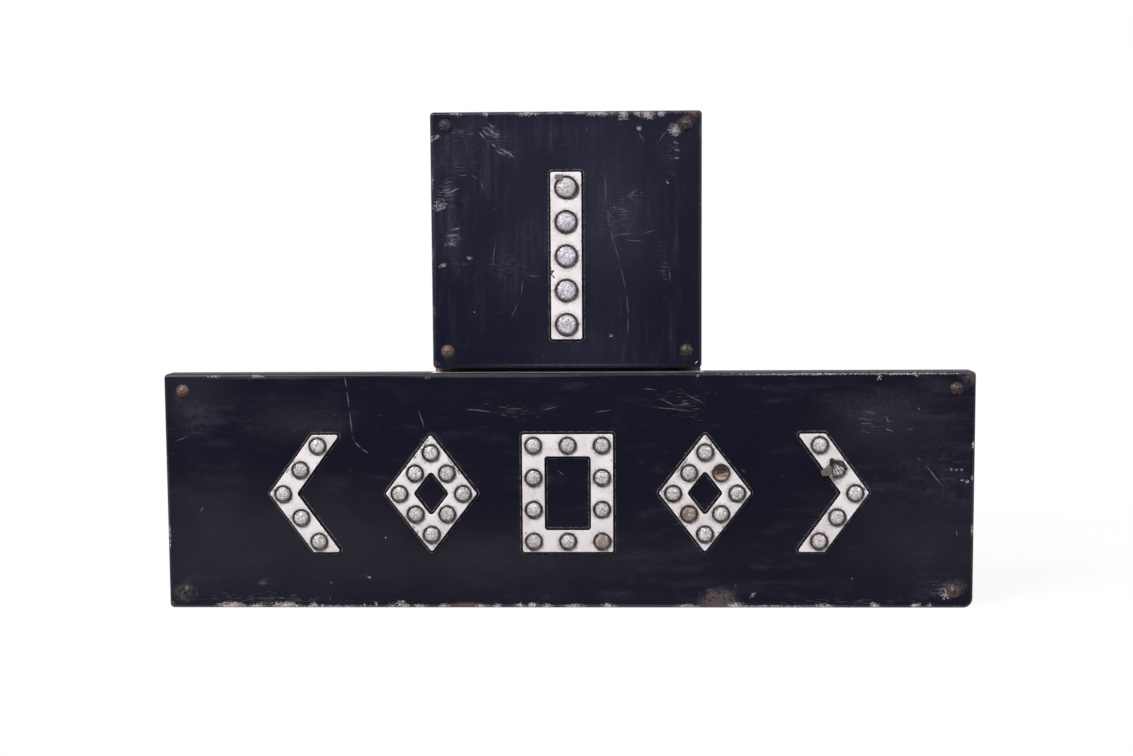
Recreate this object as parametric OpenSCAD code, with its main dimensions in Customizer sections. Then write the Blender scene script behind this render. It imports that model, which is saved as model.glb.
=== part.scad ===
// Railroad crossing sign: a square number plate standing on a long word panel.
// Each is a pressed steel pan with a flat back cover, and both are bolted to one rear
// joining plate, which takes the U-bolts of a round mast. Round glass reflectors sit
// in the raised white figures. All pieces are drawn lying on their backs, with z up
// towards the viewer of the sign, and stand_up() turns them to face -Y.

/* [Panels] */
// Width of the word panel
word_w = 685.8; // [620:0.1:760]
// Height of the word panel
word_h = 201.6; // [180:0.1:240]
// Width of the number plate and of the joining plate behind it
number_w = 226.6; // [205:0.1:260]
// Height of the number plate
number_h = 214.3; // [195:0.1:250]
// Gap between the two panels
panel_gap = 4.1; // [2:0.1:15]
// Depth of both pans, from the rear edge of the flange to the front face
pan_depth = 19; // [16:0.1:30]
// Thickness of the pans' sheet
sheet_t = 1.5; // [1:0.1:1.6]
// Outside radius of the pans' corners in front view
corner_r = 3.5; // [3:0.1:8]
// Outside radius of the bend between face and flange
bend_r = 2.5; // [2:0.1:3.5]
// Thickness of the flat back covers
cover_t = 1.5; // [1:0.1:3]

/* [Joining plate] */
// Thickness of the joining plate
plate_t = 3.2; // [2:0.1:6]
// Distance from the top of the number plate down to the joining plate
plate_top_margin = 2; // [1:0.1:2.4]
// Distance from the bottom of the word panel up to the joining plate
plate_bottom_margin = 8; // [2:0.1:14]
// Corner radius of the joining plate
plate_corner_r = 4; // [2:0.1:8]
// Distance of the upper joining bolts below the top of the word panel
joining_top_inset = 24; // [16:0.1:30]
// Distance of the lower joining bolts above the edge of the joining plate
joining_bottom_inset = 16; // [11:0.1:20]
// Distance of the joining bolts from the side edge of the joining plate
joining_side_inset = 12.7; // [10:0.1:20]

/* [Mast bolts] */
// Distance between the legs of one U-bolt
mast_leg_spacing = 127; // [110:0.1:130]
// Distance between the two U-bolts
mast_row_spacing = 203.2; // [190:0.1:220]
// Diameter of the U-bolt holes
mast_hole_d = 14.3; // [11:0.1:16]

/* [Raised figures] */
// Height of the raised figures above the face
press_h = 2.4; // [1.8:0.1:4]
// Thickness of the white facing on top of the figures
facing_t = 0.4; // [0.2:0.1:0.8]
// Width of the bar on the number plate
bar_w = 26; // [24.5:0.1:34]
// Height of the bar
bar_h = 139.8; // [130:0.1:160]
// Distance from the bottom of the number plate up to the bar
bar_margin = 24.3; // [18:0.1:30]
// Distance from the bar's ends to its first and last reflector
bar_end_margin = 12.7; // [12.5:0.1:18]
// Stroke width of the marks on the word panel
stroke = 19; // [18.7:0.1:21]
// Height of all marks
mark_h = 101; // [96:0.1:120]
// Distance that the marks' centre lies below the centre of the word panel
mark_drop = 1.5; // [0:0.1:6]
// Sideways run of a chevron's arm over half the mark's height
chevron_run = 37; // [32:0.1:44]
// Width of the diamond rings
diamond_w = 78; // [74:0.1:96]
// Width of the square ring
square_w = 77; // [70:0.1:96]
// Gap between neighbouring marks
mark_gap = 38.5; // [34:0.1:48]

/* [Reflectors] */
// Outside diameter of the number plate's bezels
number_bezel_d = 20; // [19.2:0.1:22]
// Diameter of glass that shows in the number plate's bezels
number_view_d = 16.4; // [14:0.1:16.8]
// Outside diameter of the word panel's bezels
word_bezel_d = 15.2; // [14.9:0.1:17]
// Diameter of glass that shows in the word panel's bezels
word_view_d = 12.8; // [10:0.1:12.9]
// Height of a bezel above the facing
bezel_h = 1.5; // [1.2:0.1:2.5]
// Thickness of a bezel's front lip
lip_t = 0.4; // [0.3:0.1:0.6]
// Overlap of the front lip on the glass
lip_w = 0.2; // [0.1:0.1:0.4]
// Wall of a bezel's skirt and of a cup
skirt_t = 0.35; // [0.3:0.05:0.45]
// Height of the glass dome above its rim
dome_h = 1.3; // [0.8:0.1:2.5]
// Depth of the glass below the facing's surface
lens_depth = 4; // [3:0.1:5]
// Depth of a cup behind the glass
cup_depth = 5; // [3:0.1:6]
// Inward turn of the skirt's rear edge, which holds the cup
crimp_w = 0.8; // [0.5:0.1:1.5]
// Radial width of the split ring behind the sheet
ring_w = 0.7; // [0.4:0.05:0.75]
// Thickness of the split ring
ring_t = 0.8; // [0.5:0.1:1.5]
// Width of the slit in the ring
ring_slit = 2; // [1:0.1:4]
// Number of reflectors in the bar
bar_reflectors = 5; // [3:1:5]

/* [Fasteners] */
// Diameter of all bolts
bolt_d = 6.35; // [5:0.05:7]
// Diameter of the round bolt heads
head_d = 11.6; // [10.5:0.1:14]
// Height of the round bolt heads
head_h = 3.8; // [2.5:0.1:5]
// Width of the screwdriver slot
slot_w = 1.5; // [1:0.1:2.5]
// Depth of the screwdriver slot
slot_depth = 1.6; // [1:0.1:2.2]
// Length of thread that stands out of a nut
thread_end = 2.5; // [1:0.1:6]
// Distance of the number plate's bolts from its sides
number_bolt_side_inset = 12.8; // [11.5:0.1:16]
// Distance of the number plate's upper bolts from its top
number_bolt_top_inset = 11.4; // [10.4:0.1:16]
// Distance of the number plate's lower bolts from its bottom
number_bolt_bottom_inset = 14.2; // [10.4:0.1:16]
// Distance of the word panel's bolts from its sides
word_bolt_side_inset = 16.2; // [12:0.1:20]
// Distance of the word panel's bolts from its top and bottom
word_bolt_edge_inset = 14.6; // [12:0.1:18]
// Outside diameter of the spacer sleeves
sleeve_d = 9.5; // [9.2:0.1:12]
// Outside diameter of the washers
washer_d = 15.9; // [14:0.1:18]
// Thickness of the washers
washer_t = 1.6; // [1:0.1:2.5]
// Width of the nuts across their flats
nut_af = 11.1; // [10.4:0.1:13]
// Thickness of the nuts
nut_t = 5.6; // [4:0.1:7]

/* [Clearances] */
// Radial gap between a bolt and its hole, sleeve or washer
bolt_gap = 0.4; // [0.2:0.05:0.6]
// Radial gap between a bolt and its nut
thread_gap = 0.05; // [0.02:0.01:0.1]
// Radial gap between a reflector's skirt and its hole
hole_gap = 0.1; // [0.05:0.05:0.15]
// Gap between the glass, the cup and the bezel around them
glass_gap = 0.05; // [0.02:0.01:0.08]
// Gap between the split ring and the skirt and sheet beside it
ring_gap = 0.05; // [0.02:0.01:0.08]

/* [Hidden] */
$fn = 64;

// Levels above the rear face of the joining plate
cover_z = plate_t;
pan_z = cover_z + cover_t;
face_z = pan_z + pan_depth;
figure_z = face_z + press_h;
facing_z = figure_z + facing_t;

// Centres of the panels, with the origin in the middle of the gap between them
number_y = panel_gap / 2 + number_h / 2;
word_y = -panel_gap / 2 - word_h / 2;
plate_top = panel_gap / 2 + number_h - plate_top_margin;
plate_bottom = -panel_gap / 2 - word_h + plate_bottom_margin;

// Places of the raised figures
bar_y = panel_gap / 2 + bar_margin + bar_h / 2;
mark_y = word_y - mark_drop;
chevron_angle = atan(mark_h / 2 / chevron_run);
chevron_arm_w = stroke / sin(chevron_angle);
chevron_w = chevron_run + chevron_arm_w;
diamond_x = square_w / 2 + mark_gap + diamond_w / 2;
chevron_x = diamond_x + diamond_w / 2 + mark_gap + chevron_w / 2;
diamond_reach = diamond_w * mark_h / 2 / norm([diamond_w, mark_h]);

// Places of the reflectors, each list in the flat drawing's x and y
bar_pitch = (bar_h - 2 * bar_end_margin) / (bar_reflectors - 1);
bar_points = [
    for (i = [0:bar_reflectors - 1])
        [0, bar_y - bar_h / 2 + bar_end_margin + i * bar_pitch]
];
chevron_rise = mark_h / 2 - stroke / 2;
left_chevron_points = [
    for (step = [-1, -0.5, 0, 0.5, 1])
        [
            -chevron_x - chevron_w / 2 + chevron_arm_w / 2
                + abs(step) * chevron_rise / tan(chevron_angle),
            mark_y + step * chevron_rise
        ]
];
right_chevron_points = [for (p = left_chevron_points) [-p.x, p.y]];
diamond_mid = 1 - stroke / 2 / diamond_reach;
diamond_corners = [
    for (turn = [0:3]) diamond_mid * [diamond_w / 2 * cos(90 * turn), mark_h / 2 * sin(90 * turn)]
];
diamond_ring_points = [
    for (i = [0:3])
        each [diamond_corners[i], (diamond_corners[i] + diamond_corners[(i + 1) % 4]) / 2]
];
left_diamond_points = [for (p = diamond_ring_points) p + [-diamond_x, mark_y]];
right_diamond_points = [for (p = diamond_ring_points) p + [diamond_x, mark_y]];
square_dx = (square_w - stroke) / 2;
square_dy = (mark_h - stroke) / 2;
square_points = [
    for (sx = [-1, 1]) for (sy = [-1, -1 / 3, 1 / 3, 1])
        [sx * square_dx, mark_y + sy * square_dy],
    for (sy = [-1, 1]) [0, mark_y + sy * square_dy]
];

// Places of the fasteners and holes
number_bolt_rows = [
    number_y - number_h / 2 + number_bolt_bottom_inset,
    number_y + number_h / 2 - number_bolt_top_inset
];
number_bolts = [
    for (sx = [-1, 1]) for (y = number_bolt_rows) [sx * (number_w / 2 - number_bolt_side_inset), y]
];
word_bolts = [
    for (sx = [-1, 1]) for (sy = [-1, 1])
        [
            sx * (word_w / 2 - word_bolt_side_inset),
            word_y + sy * (word_h / 2 - word_bolt_edge_inset)
        ]
];
joining_rows = [-panel_gap / 2 - joining_top_inset, plate_bottom + joining_bottom_inset];
joining_points = [
    for (sx = [-1, 1]) for (y = joining_rows) [sx * (number_w / 2 - joining_side_inset), y]
];
upper_mast_holes = [
    for (sx = [-1, 1]) [sx * mast_leg_spacing / 2, mast_row_spacing / 2]
];
lower_mast_holes = [
    for (sx = [-1, 1]) [sx * mast_leg_spacing / 2, -mast_row_spacing / 2]
];
slot_turns = [35, 80, 140, 10];
arc_steps = 6;
cut = 1;

function lens_r(view_d) = view_d / 2 + lip_w;
function skirt_r(view_d) = lens_r(view_d) + glass_gap;
function skirt_outer_r(view_d) = skirt_r(view_d) + skirt_t;
function hole_r(view_d) = skirt_outer_r(view_d) + hole_gap;
function arc(centre, r, from, to) = [
    for (i = [0:arc_steps])
        let (a = from + (to - from) * i / arc_steps) centre + r * [cos(a), sin(a)]
];
function rounded_outline(w, h, r) = [
    for (turn = [0:3])
        let (sx = (turn == 0 || turn == 3) ? 1 : -1, sy = turn < 2 ? 1 : -1)
            each arc([sx * (w / 2 - r), sy * (h / 2 - r)], r, 90 * turn, 90 * turn + 90)
];

// Turns the flat drawing so that the sign faces -Y with +Z up
module stand_up() {
    rotate([90, 0, 0]) children();
}

// Puts a child at each point and level
module at_points(points, z) {
    for (p = points) translate([p.x, p.y, z]) children();
}

// Straight holes through everything between two levels
module holes(points, r, from, to) {
    at_points(points, from) cylinder(h = to - from, r = r);
}

// Section of the bent sheet, from a corner's axis out to its flange
module edge_section() {
    bend_centre = [corner_r - bend_r, pan_depth - bend_r];
    polygon(concat(
        [[0, pan_depth - sheet_t], [0, pan_depth]],
        arc(bend_centre, bend_r, 90, 0),
        [[corner_r, 0], [corner_r - sheet_t, 0]],
        arc(bend_centre, bend_r - sheet_t, 0, 90)
    ));
}

// Plain pan with its four flanges and no figures
module pan_shell(w, h) {
    for (turn = [0:3]) {
        a = turn % 2 == 0 ? w : h;
        b = turn % 2 == 0 ? h : w;
        rotate([0, 0, 90 * turn]) translate([a / 2 - corner_r, b / 2 - corner_r, 0]) {
            rotate([90, 0, 0]) linear_extrude(b - 2 * corner_r) edge_section();
            rotate_extrude(angle = 90) edge_section();
        }
    }
    translate([corner_r - w / 2, corner_r - h / 2, pan_depth - sheet_t])
        cube([w - 2 * corner_r, h - 2 * corner_r, sheet_t]);
}

// Outlines of the figures, drawn in from their edge by inset on every side
module bar(inset) {
    translate([0, bar_y]) square([bar_w - 2 * inset, bar_h - 2 * inset], center = true);
}

module chevron(inset) {
    side = inset / sin(chevron_angle);
    top = mark_h / 2 - inset;
    run = top / tan(chevron_angle);
    outer = side - chevron_w / 2;
    inner = chevron_arm_w - chevron_w / 2 - side;
    polygon([
        [outer, 0], [outer + run, top], [inner + run, top],
        [inner, 0], [inner + run, -top], [outer + run, -top]
    ]);
}

module diamond(scale_of_outline) {
    x = scale_of_outline * diamond_w / 2;
    y = scale_of_outline * mark_h / 2;
    polygon([[x, 0], [0, y], [-x, 0], [0, -y]]);
}

module diamond_ring(inset) {
    difference() {
        diamond(1 - inset / diamond_reach);
        diamond(1 - (stroke - inset) / diamond_reach);
    }
}

module square_ring(inset) {
    rim = 2 * (stroke - inset);
    difference() {
        square([square_w - 2 * inset, mark_h - 2 * inset], center = true);
        square([square_w - rim, mark_h - rim], center = true);
    }
}

module left_chevron_mark(inset) {
    translate([-chevron_x, mark_y]) chevron(inset);
}

module left_diamond_mark(inset) {
    translate([-diamond_x, mark_y]) diamond_ring(inset);
}

module square_mark(inset) {
    translate([0, mark_y]) square_ring(inset);
}

module right_diamond_mark(inset) {
    translate([diamond_x, mark_y]) diamond_ring(inset);
}

module right_chevron_mark(inset) {
    mirror([1, 0]) left_chevron_mark(inset);
}

module marks(inset) {
    left_chevron_mark(inset);
    left_diamond_mark(inset);
    square_mark(inset);
    right_diamond_mark(inset);
    right_chevron_mark(inset);
}

// Front pans: bent sheet with the figures pressed out of the face
module number_front_pan() {
    color([0.14, 0.14, 0.2]) stand_up() difference() {
        union() {
            translate([0, number_y, pan_z]) pan_shell(number_w, number_h);
            translate([0, 0, face_z - sheet_t / 2]) linear_extrude(press_h + sheet_t / 2) bar(0);
        }
        translate([0, 0, pan_z]) linear_extrude(pan_depth + press_h - sheet_t) bar(sheet_t);
        holes(bar_points, hole_r(number_view_d), pan_z, figure_z + cut);
        holes(number_bolts, bolt_d / 2 + bolt_gap, pan_z, face_z + cut);
    }
}

module word_front_pan() {
    color([0.11, 0.11, 0.16]) stand_up() difference() {
        union() {
            translate([0, word_y, pan_z]) pan_shell(word_w, word_h);
            translate([0, 0, face_z - sheet_t / 2]) linear_extrude(press_h + sheet_t / 2) marks(0);
        }
        translate([0, 0, pan_z]) linear_extrude(pan_depth + press_h - sheet_t) marks(sheet_t);
        holes(left_chevron_points, hole_r(word_view_d), pan_z, figure_z + cut);
        holes(left_diamond_points, hole_r(word_view_d), pan_z, figure_z + cut);
        holes(square_points, hole_r(word_view_d), pan_z, figure_z + cut);
        holes(right_diamond_points, hole_r(word_view_d), pan_z, figure_z + cut);
        holes(right_chevron_points, hole_r(word_view_d), pan_z, figure_z + cut);
        holes(word_bolts, bolt_d / 2 + bolt_gap, pan_z, face_z + cut);
    }
}

// Thin white facing on top of one raised figure, whose outline is the child
module facing(points, view_d) {
    color([0.93, 0.91, 0.9]) stand_up() difference() {
        translate([0, 0, figure_z]) linear_extrude(facing_t) children();
        holes(points, hole_r(view_d), face_z, facing_z + cut);
    }
}

// Flat covers that close the pans from behind
module number_back_cover() {
    color([0.17, 0.17, 0.2]) stand_up() difference() {
        translate([0, number_y, cover_z])
            linear_extrude(cover_t) polygon(rounded_outline(number_w, number_h, corner_r));
        holes(number_bolts, bolt_d / 2 + bolt_gap, cover_z - cut, pan_z + cut);
        holes(upper_mast_holes, mast_hole_d / 2, cover_z - cut, pan_z + cut);
    }
}

module word_back_cover() {
    color([0.17, 0.17, 0.2]) stand_up() difference() {
        translate([0, word_y, cover_z])
            linear_extrude(cover_t) polygon(rounded_outline(word_w, word_h, corner_r));
        holes(word_bolts, bolt_d / 2 + bolt_gap, cover_z - cut, pan_z + cut);
        holes(joining_points, bolt_d / 2 + bolt_gap, cover_z - cut, pan_z + cut);
        holes(lower_mast_holes, mast_hole_d / 2, cover_z - cut, pan_z + cut);
    }
}

// Bare steel plate behind both panels, as wide as the number plate
module joining_plate() {
    plate_h = plate_top - plate_bottom;
    color([0.42, 0.33, 0.29]) stand_up() difference() {
        translate([0, plate_bottom + plate_h / 2, 0])
            linear_extrude(plate_t) polygon(rounded_outline(number_w, plate_h, plate_corner_r));
        holes(number_bolts, bolt_d / 2 + bolt_gap, -cut, plate_t + cut);
        holes(joining_points, bolt_d / 2 + bolt_gap, -cut, plate_t + cut);
        holes(upper_mast_holes, mast_hole_d / 2, -cut, plate_t + cut);
        holes(lower_mast_holes, mast_hole_d / 2, -cut, plate_t + cut);
    }
}

// Round-headed bolt with its head on z = 0 and its shank reaching down by grip
module bolt(grip, turn) {
    dome_r = (head_d * head_d / 4 + head_h * head_h) / (2 * head_h);
    difference() {
        intersection() {
            translate([0, 0, head_h - dome_r]) sphere(r = dome_r);
            cylinder(h = head_h + cut, d = head_d);
        }
        rotate([0, 0, turn]) translate([-head_d, -slot_w / 2, head_h - slot_depth])
            cube([2 * head_d, slot_w, slot_depth + cut]);
    }
    shank = grip + washer_t + nut_t + thread_end;
    translate([0, 0, -shank]) cylinder(h = shank, d = bolt_d);
}

module bolts(points, head_z, grip) {
    color([0.4, 0.34, 0.32]) stand_up()
        for (i = [0:len(points) - 1])
            translate([points[i].x, points[i].y, head_z]) bolt(grip, slot_turns[i]);
}

module sleeves(points) {
    color([0.5, 0.5, 0.52]) stand_up() at_points(points, pan_z) difference() {
        cylinder(h = pan_depth - sheet_t, d = sleeve_d);
        translate([0, 0, -cut])
            cylinder(h = pan_depth - sheet_t + 2 * cut, r = bolt_d / 2 + bolt_gap);
    }
}

// Washers under the nuts, against the level seat_z
module washers(points, seat_z) {
    color([0.45, 0.42, 0.4]) stand_up() at_points(points, seat_z - washer_t) difference() {
        cylinder(h = washer_t, d = washer_d);
        translate([0, 0, -cut]) cylinder(h = washer_t + 2 * cut, r = bolt_d / 2 + bolt_gap);
    }
}

module nuts(points, seat_z) {
    color([0.43, 0.37, 0.34]) stand_up() at_points(points, seat_z - washer_t - nut_t)
        difference() {
            cylinder(h = nut_t, d = nut_af / cos(30), $fn = 6);
            translate([0, 0, -cut]) cylinder(h = nut_t + 2 * cut, r = bolt_d / 2 + thread_gap);
        }
}

module number_corner_bolts() {
    bolts(number_bolts, face_z, face_z);
}

module number_corner_sleeves() {
    sleeves(number_bolts);
}

module number_corner_washers() {
    washers(number_bolts, 0);
}

module number_corner_nuts() {
    nuts(number_bolts, 0);
}

module word_corner_bolts() {
    bolts(word_bolts, face_z, face_z - cover_z);
}

module word_corner_sleeves() {
    sleeves(word_bolts);
}

module word_corner_washers() {
    washers(word_bolts, cover_z);
}

module word_corner_nuts() {
    nuts(word_bolts, cover_z);
}

module joining_bolts() {
    bolts(joining_points, pan_z, pan_z);
}

module joining_washers() {
    washers(joining_points, 0);
}

module joining_nuts() {
    nuts(joining_points, 0);
}

// Reflector pieces, each on its own axis with the facing's surface at z = 0
module lens(view_d) {
    dome_base_r = view_d / 2 - glass_gap;
    dome_r = (dome_base_r * dome_base_r + dome_h * dome_h) / (2 * dome_h);
    rim_z = bezel_h - lip_t - glass_gap;
    translate([0, 0, -lens_depth]) cylinder(h = lens_depth + rim_z, r = lens_r(view_d));
    intersection() {
        translate([0, 0, rim_z + dome_h - dome_r]) sphere(r = dome_r);
        translate([0, 0, rim_z - lip_t]) cylinder(h = lip_t + dome_h + cut, r = dome_base_r);
    }
}

module bezel(bezel_d, view_d) {
    outer = bezel_d / 2;
    inner = view_d / 2;
    bead_r = outer - inner < bezel_h ? (outer - inner) / 2 : bezel_h / 2;
    rear = -lens_depth - cup_depth - skirt_t - 2 * glass_gap;
    rotate_extrude() polygon(concat(
        [[skirt_outer_r(view_d), rear], [skirt_outer_r(view_d), 0], [outer, 0]],
        arc([outer - bead_r, bezel_h - bead_r], bead_r, 0, 90),
        [
            [inner, bezel_h], [inner, bezel_h - lip_t],
            [skirt_r(view_d), bezel_h - lip_t], [skirt_r(view_d), rear + skirt_t],
            [skirt_r(view_d) - crimp_w, rear + skirt_t], [skirt_r(view_d) - crimp_w, rear]
        ]
    ));
}

module cup(view_d) {
    r = lens_r(view_d);
    rear = -lens_depth - glass_gap - cup_depth;
    difference() {
        translate([0, 0, rear]) cylinder(h = cup_depth, r = r);
        translate([0, 0, rear + skirt_t]) cylinder(h = cup_depth, r = r - skirt_t);
    }
}

module ring(view_d) {
    r = skirt_outer_r(view_d) + ring_gap;
    translate([0, 0, -facing_t - sheet_t - ring_gap - ring_t]) difference() {
        cylinder(h = ring_t, r = r + ring_w);
        translate([0, 0, -cut]) cylinder(h = ring_t + 2 * cut, r = r);
        translate([0, -ring_slit / 2, -cut]) cube([2 * r, ring_slit, ring_t + 2 * cut]);
    }
}

module lenses(points, view_d) {
    color([0.8, 0.79, 0.82]) stand_up() at_points(points, facing_z) lens(view_d);
}

module bezels(points, bezel_d, view_d) {
    color([0.36, 0.33, 0.32]) stand_up() at_points(points, facing_z) bezel(bezel_d, view_d);
}

module cups(points, view_d) {
    color([0.66, 0.66, 0.68]) stand_up() at_points(points, facing_z) cup(view_d);
}

module rings(points, view_d) {
    color([0.5, 0.5, 0.52]) stand_up() at_points(points, facing_z) ring(view_d);
}

module bar_facing() {
    facing(bar_points, number_view_d) bar(0);
}

module left_chevron_facing() {
    facing(left_chevron_points, word_view_d) left_chevron_mark(0);
}

module left_diamond_facing() {
    facing(left_diamond_points, word_view_d) left_diamond_mark(0);
}

module square_facing() {
    facing(square_points, word_view_d) square_mark(0);
}

module right_diamond_facing() {
    facing(right_diamond_points, word_view_d) right_diamond_mark(0);
}

module right_chevron_facing() {
    facing(right_chevron_points, word_view_d) right_chevron_mark(0);
}

module bar_lenses() {
    lenses(bar_points, number_view_d);
}

module bar_bezels() {
    bezels(bar_points, number_bezel_d, number_view_d);
}

module bar_cups() {
    cups(bar_points, number_view_d);
}

module bar_rings() {
    rings(bar_points, number_view_d);
}

module left_chevron_lenses() {
    lenses(left_chevron_points, word_view_d);
}

module left_chevron_bezels() {
    bezels(left_chevron_points, word_bezel_d, word_view_d);
}

module left_chevron_cups() {
    cups(left_chevron_points, word_view_d);
}

module left_chevron_rings() {
    rings(left_chevron_points, word_view_d);
}

module left_diamond_lenses() {
    lenses(left_diamond_points, word_view_d);
}

module left_diamond_bezels() {
    bezels(left_diamond_points, word_bezel_d, word_view_d);
}

module left_diamond_cups() {
    cups(left_diamond_points, word_view_d);
}

module left_diamond_rings() {
    rings(left_diamond_points, word_view_d);
}

module square_lenses() {
    lenses(square_points, word_view_d);
}

module square_bezels() {
    bezels(square_points, word_bezel_d, word_view_d);
}

module square_cups() {
    cups(square_points, word_view_d);
}

module square_rings() {
    rings(square_points, word_view_d);
}

module right_diamond_lenses() {
    lenses(right_diamond_points, word_view_d);
}

module right_diamond_bezels() {
    bezels(right_diamond_points, word_bezel_d, word_view_d);
}

module right_diamond_cups() {
    cups(right_diamond_points, word_view_d);
}

module right_diamond_rings() {
    rings(right_diamond_points, word_view_d);
}

module right_chevron_lenses() {
    lenses(right_chevron_points, word_view_d);
}

module right_chevron_bezels() {
    bezels(right_chevron_points, word_bezel_d, word_view_d);
}

module right_chevron_cups() {
    cups(right_chevron_points, word_view_d);
}

module right_chevron_rings() {
    rings(right_chevron_points, word_view_d);
}

number_front_pan();
word_front_pan();
number_back_cover();
word_back_cover();
joining_plate();
number_corner_bolts();
number_corner_sleeves();
number_corner_washers();
number_corner_nuts();
word_corner_bolts();
word_corner_sleeves();
word_corner_washers();
word_corner_nuts();
joining_bolts();
joining_washers();
joining_nuts();
bar_facing();
bar_lenses();
bar_bezels();
bar_cups();
bar_rings();
left_chevron_facing();
left_chevron_lenses();
left_chevron_bezels();
left_chevron_cups();
left_chevron_rings();
left_diamond_facing();
left_diamond_lenses();
left_diamond_bezels();
left_diamond_cups();
left_diamond_rings();
square_facing();
square_lenses();
square_bezels();
square_cups();
square_rings();
right_diamond_facing();
right_diamond_lenses();
right_diamond_bezels();
right_diamond_cups();
right_diamond_rings();
right_chevron_facing();
right_chevron_lenses();
right_chevron_bezels();
right_chevron_cups();
right_chevron_rings();
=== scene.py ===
"""Railroad crossing sign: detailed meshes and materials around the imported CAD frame.

Lengths are millimetres until a mesh is built. A point is (x, z, h): x to the right, z up,
and h the height above the pans' faces, towards the viewer.
"""

import math
import random

import bmesh
import bpy
import numpy as np
from mathutils import Matrix, Vector, noise
from mathutils.geometry import delaunay_2d_cdt


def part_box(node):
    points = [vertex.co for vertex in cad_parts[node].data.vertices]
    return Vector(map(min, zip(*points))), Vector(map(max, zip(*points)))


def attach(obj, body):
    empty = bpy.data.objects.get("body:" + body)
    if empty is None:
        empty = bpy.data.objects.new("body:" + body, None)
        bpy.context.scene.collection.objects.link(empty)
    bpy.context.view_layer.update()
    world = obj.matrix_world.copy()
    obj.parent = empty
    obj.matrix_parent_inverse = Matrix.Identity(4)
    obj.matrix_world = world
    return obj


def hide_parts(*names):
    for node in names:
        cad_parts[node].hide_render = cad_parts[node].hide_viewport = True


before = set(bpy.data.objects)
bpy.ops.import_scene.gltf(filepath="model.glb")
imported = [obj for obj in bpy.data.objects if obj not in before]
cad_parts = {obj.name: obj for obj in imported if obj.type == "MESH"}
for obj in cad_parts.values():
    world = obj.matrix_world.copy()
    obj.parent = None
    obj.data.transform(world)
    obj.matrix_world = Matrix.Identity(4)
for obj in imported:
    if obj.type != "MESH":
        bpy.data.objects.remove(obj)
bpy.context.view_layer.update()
random.seed(11)


# Sizes and places from the frame

def mm_box(node):
    """The low and high corners of a CAD node's box."""
    low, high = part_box(node)
    return np.array(low) * 1000, np.array(high) * 1000


def centres(node):
    """The (x, z) centre of each solid of a CAD node, from the lowest to the highest."""
    bm = bmesh.new()
    bm.from_mesh(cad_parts[node].data)
    bmesh.ops.remove_doubles(bm, verts=bm.verts, dist=1e-6)
    left = set(bm.verts)
    found = []
    while left:
        stack = [left.pop()]
        solid = []
        while stack:
            vert = stack.pop()
            solid.append(tuple(vert.co))
            near = {edge.other_vert(vert) for edge in vert.link_edges} & left
            left -= near
            stack += near
        spread = np.array(solid)[:, [0, 2]] * 1000
        found.append(tuple((spread.min(0) + spread.max(0)) / 2))
    bm.free()
    return sorted(found, key=lambda p: (round(p[1]), round(p[0])))


def panel_of(node, radii):
    """Width, height, middle and corner radii (top right and on, anticlockwise) of a pan."""
    low, high = mm_box(node)
    return dict(w=high[0] - low[0], h=high[2] - low[2], z=(low[2] + high[2]) / 2, radii=radii)


PRESS_H = 2.4
SHEET_T = 1.2
BEND_R = 2.5
STROKE = 19.0
CHEVRON_RUN = 37.0
NUMBER = panel_of("number_front_pan", (3.0, 3.2, 3.4, 3.4))
WORD = panel_of("word_front_pan", (3.6, 3.6, 3.6, 8.0))
PAN_LOW, PAN_HIGH = mm_box("number_front_pan")
FACE_Y = -PAN_LOW[1] - PRESS_H
PAN_DEPTH = FACE_Y + PAN_HIGH[1]
FACING_H = -mm_box("bar_facing")[0][1] - FACE_Y
BOLT_SETS = {n: centres(n) for n in ("number_corner_bolts", "word_corner_bolts", "joining_bolts")}


# Outlines: loops of (x, z) with the material on their left

def facing_left(points, hole=False):
    """The same corners, in the order that keeps the material on the left."""
    x, z = np.array(points).T
    area = float(np.sum(x * np.roll(z, -1) - np.roll(x, -1) * z))
    return points if (area > 0) != hole else points[::-1]


def outline(corners, offset, radii, spacing=4.0, steps=6):
    """A closed loop round the corners, moved outward by offset.

    Every corner is filleted about a fixed centre, so the loops of one outline match point
    by point. radii is (convex, concave), or a list with one radius for each corner.
    """
    count = len(corners)
    pts = [np.array(c, float) for c in corners]
    arcs = []
    for i in range(count):
        u = pts[i] - pts[i - 1]
        v = pts[(i + 1) % count] - pts[i]
        u, v = u / np.linalg.norm(u), v / np.linalg.norm(v)
        nu, nv = np.array([u[1], -u[0]]), np.array([v[1], -v[0]])
        convex = u[0] * v[1] - u[1] * v[0] > 0
        r = radii[0 if convex else 1] if isinstance(radii, tuple) else radii[i]
        side = -1 if convex else 1
        centre = pts[i] + side * r * (nu + nv) / (1 + float(nu @ nv))
        reach = r - side * offset
        a = math.atan2(nu[1], nu[0])
        turn = math.atan2(nu[0] * nv[1] - nu[1] * nv[0], float(nu @ nv))
        arcs.append([
            centre - side * reach * np.array([math.cos(t), math.sin(t)])
            for t in (a + turn * k / steps for k in range(steps + 1))
        ])
    loop = []
    for i in range(count):
        loop += arcs[i]
        after = (i + 1) % count
        parts = max(1, int(round(np.linalg.norm(pts[after] - pts[i]) / spacing)))
        a, b = arcs[i][-1], arcs[after][0]
        loop += [a + (b - a) * k / parts for k in range(1, parts)]
    return np.array(loop)


def circle(x, z, r, count=32):
    a = 2 * math.pi * np.arange(count) / count
    return np.stack([x + r * np.cos(a), z + r * np.sin(a)], 1)


def at(loop, h):
    """A loop of (x, z) at height h."""
    return np.column_stack([loop, np.full(len(loop), float(h))])


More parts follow.
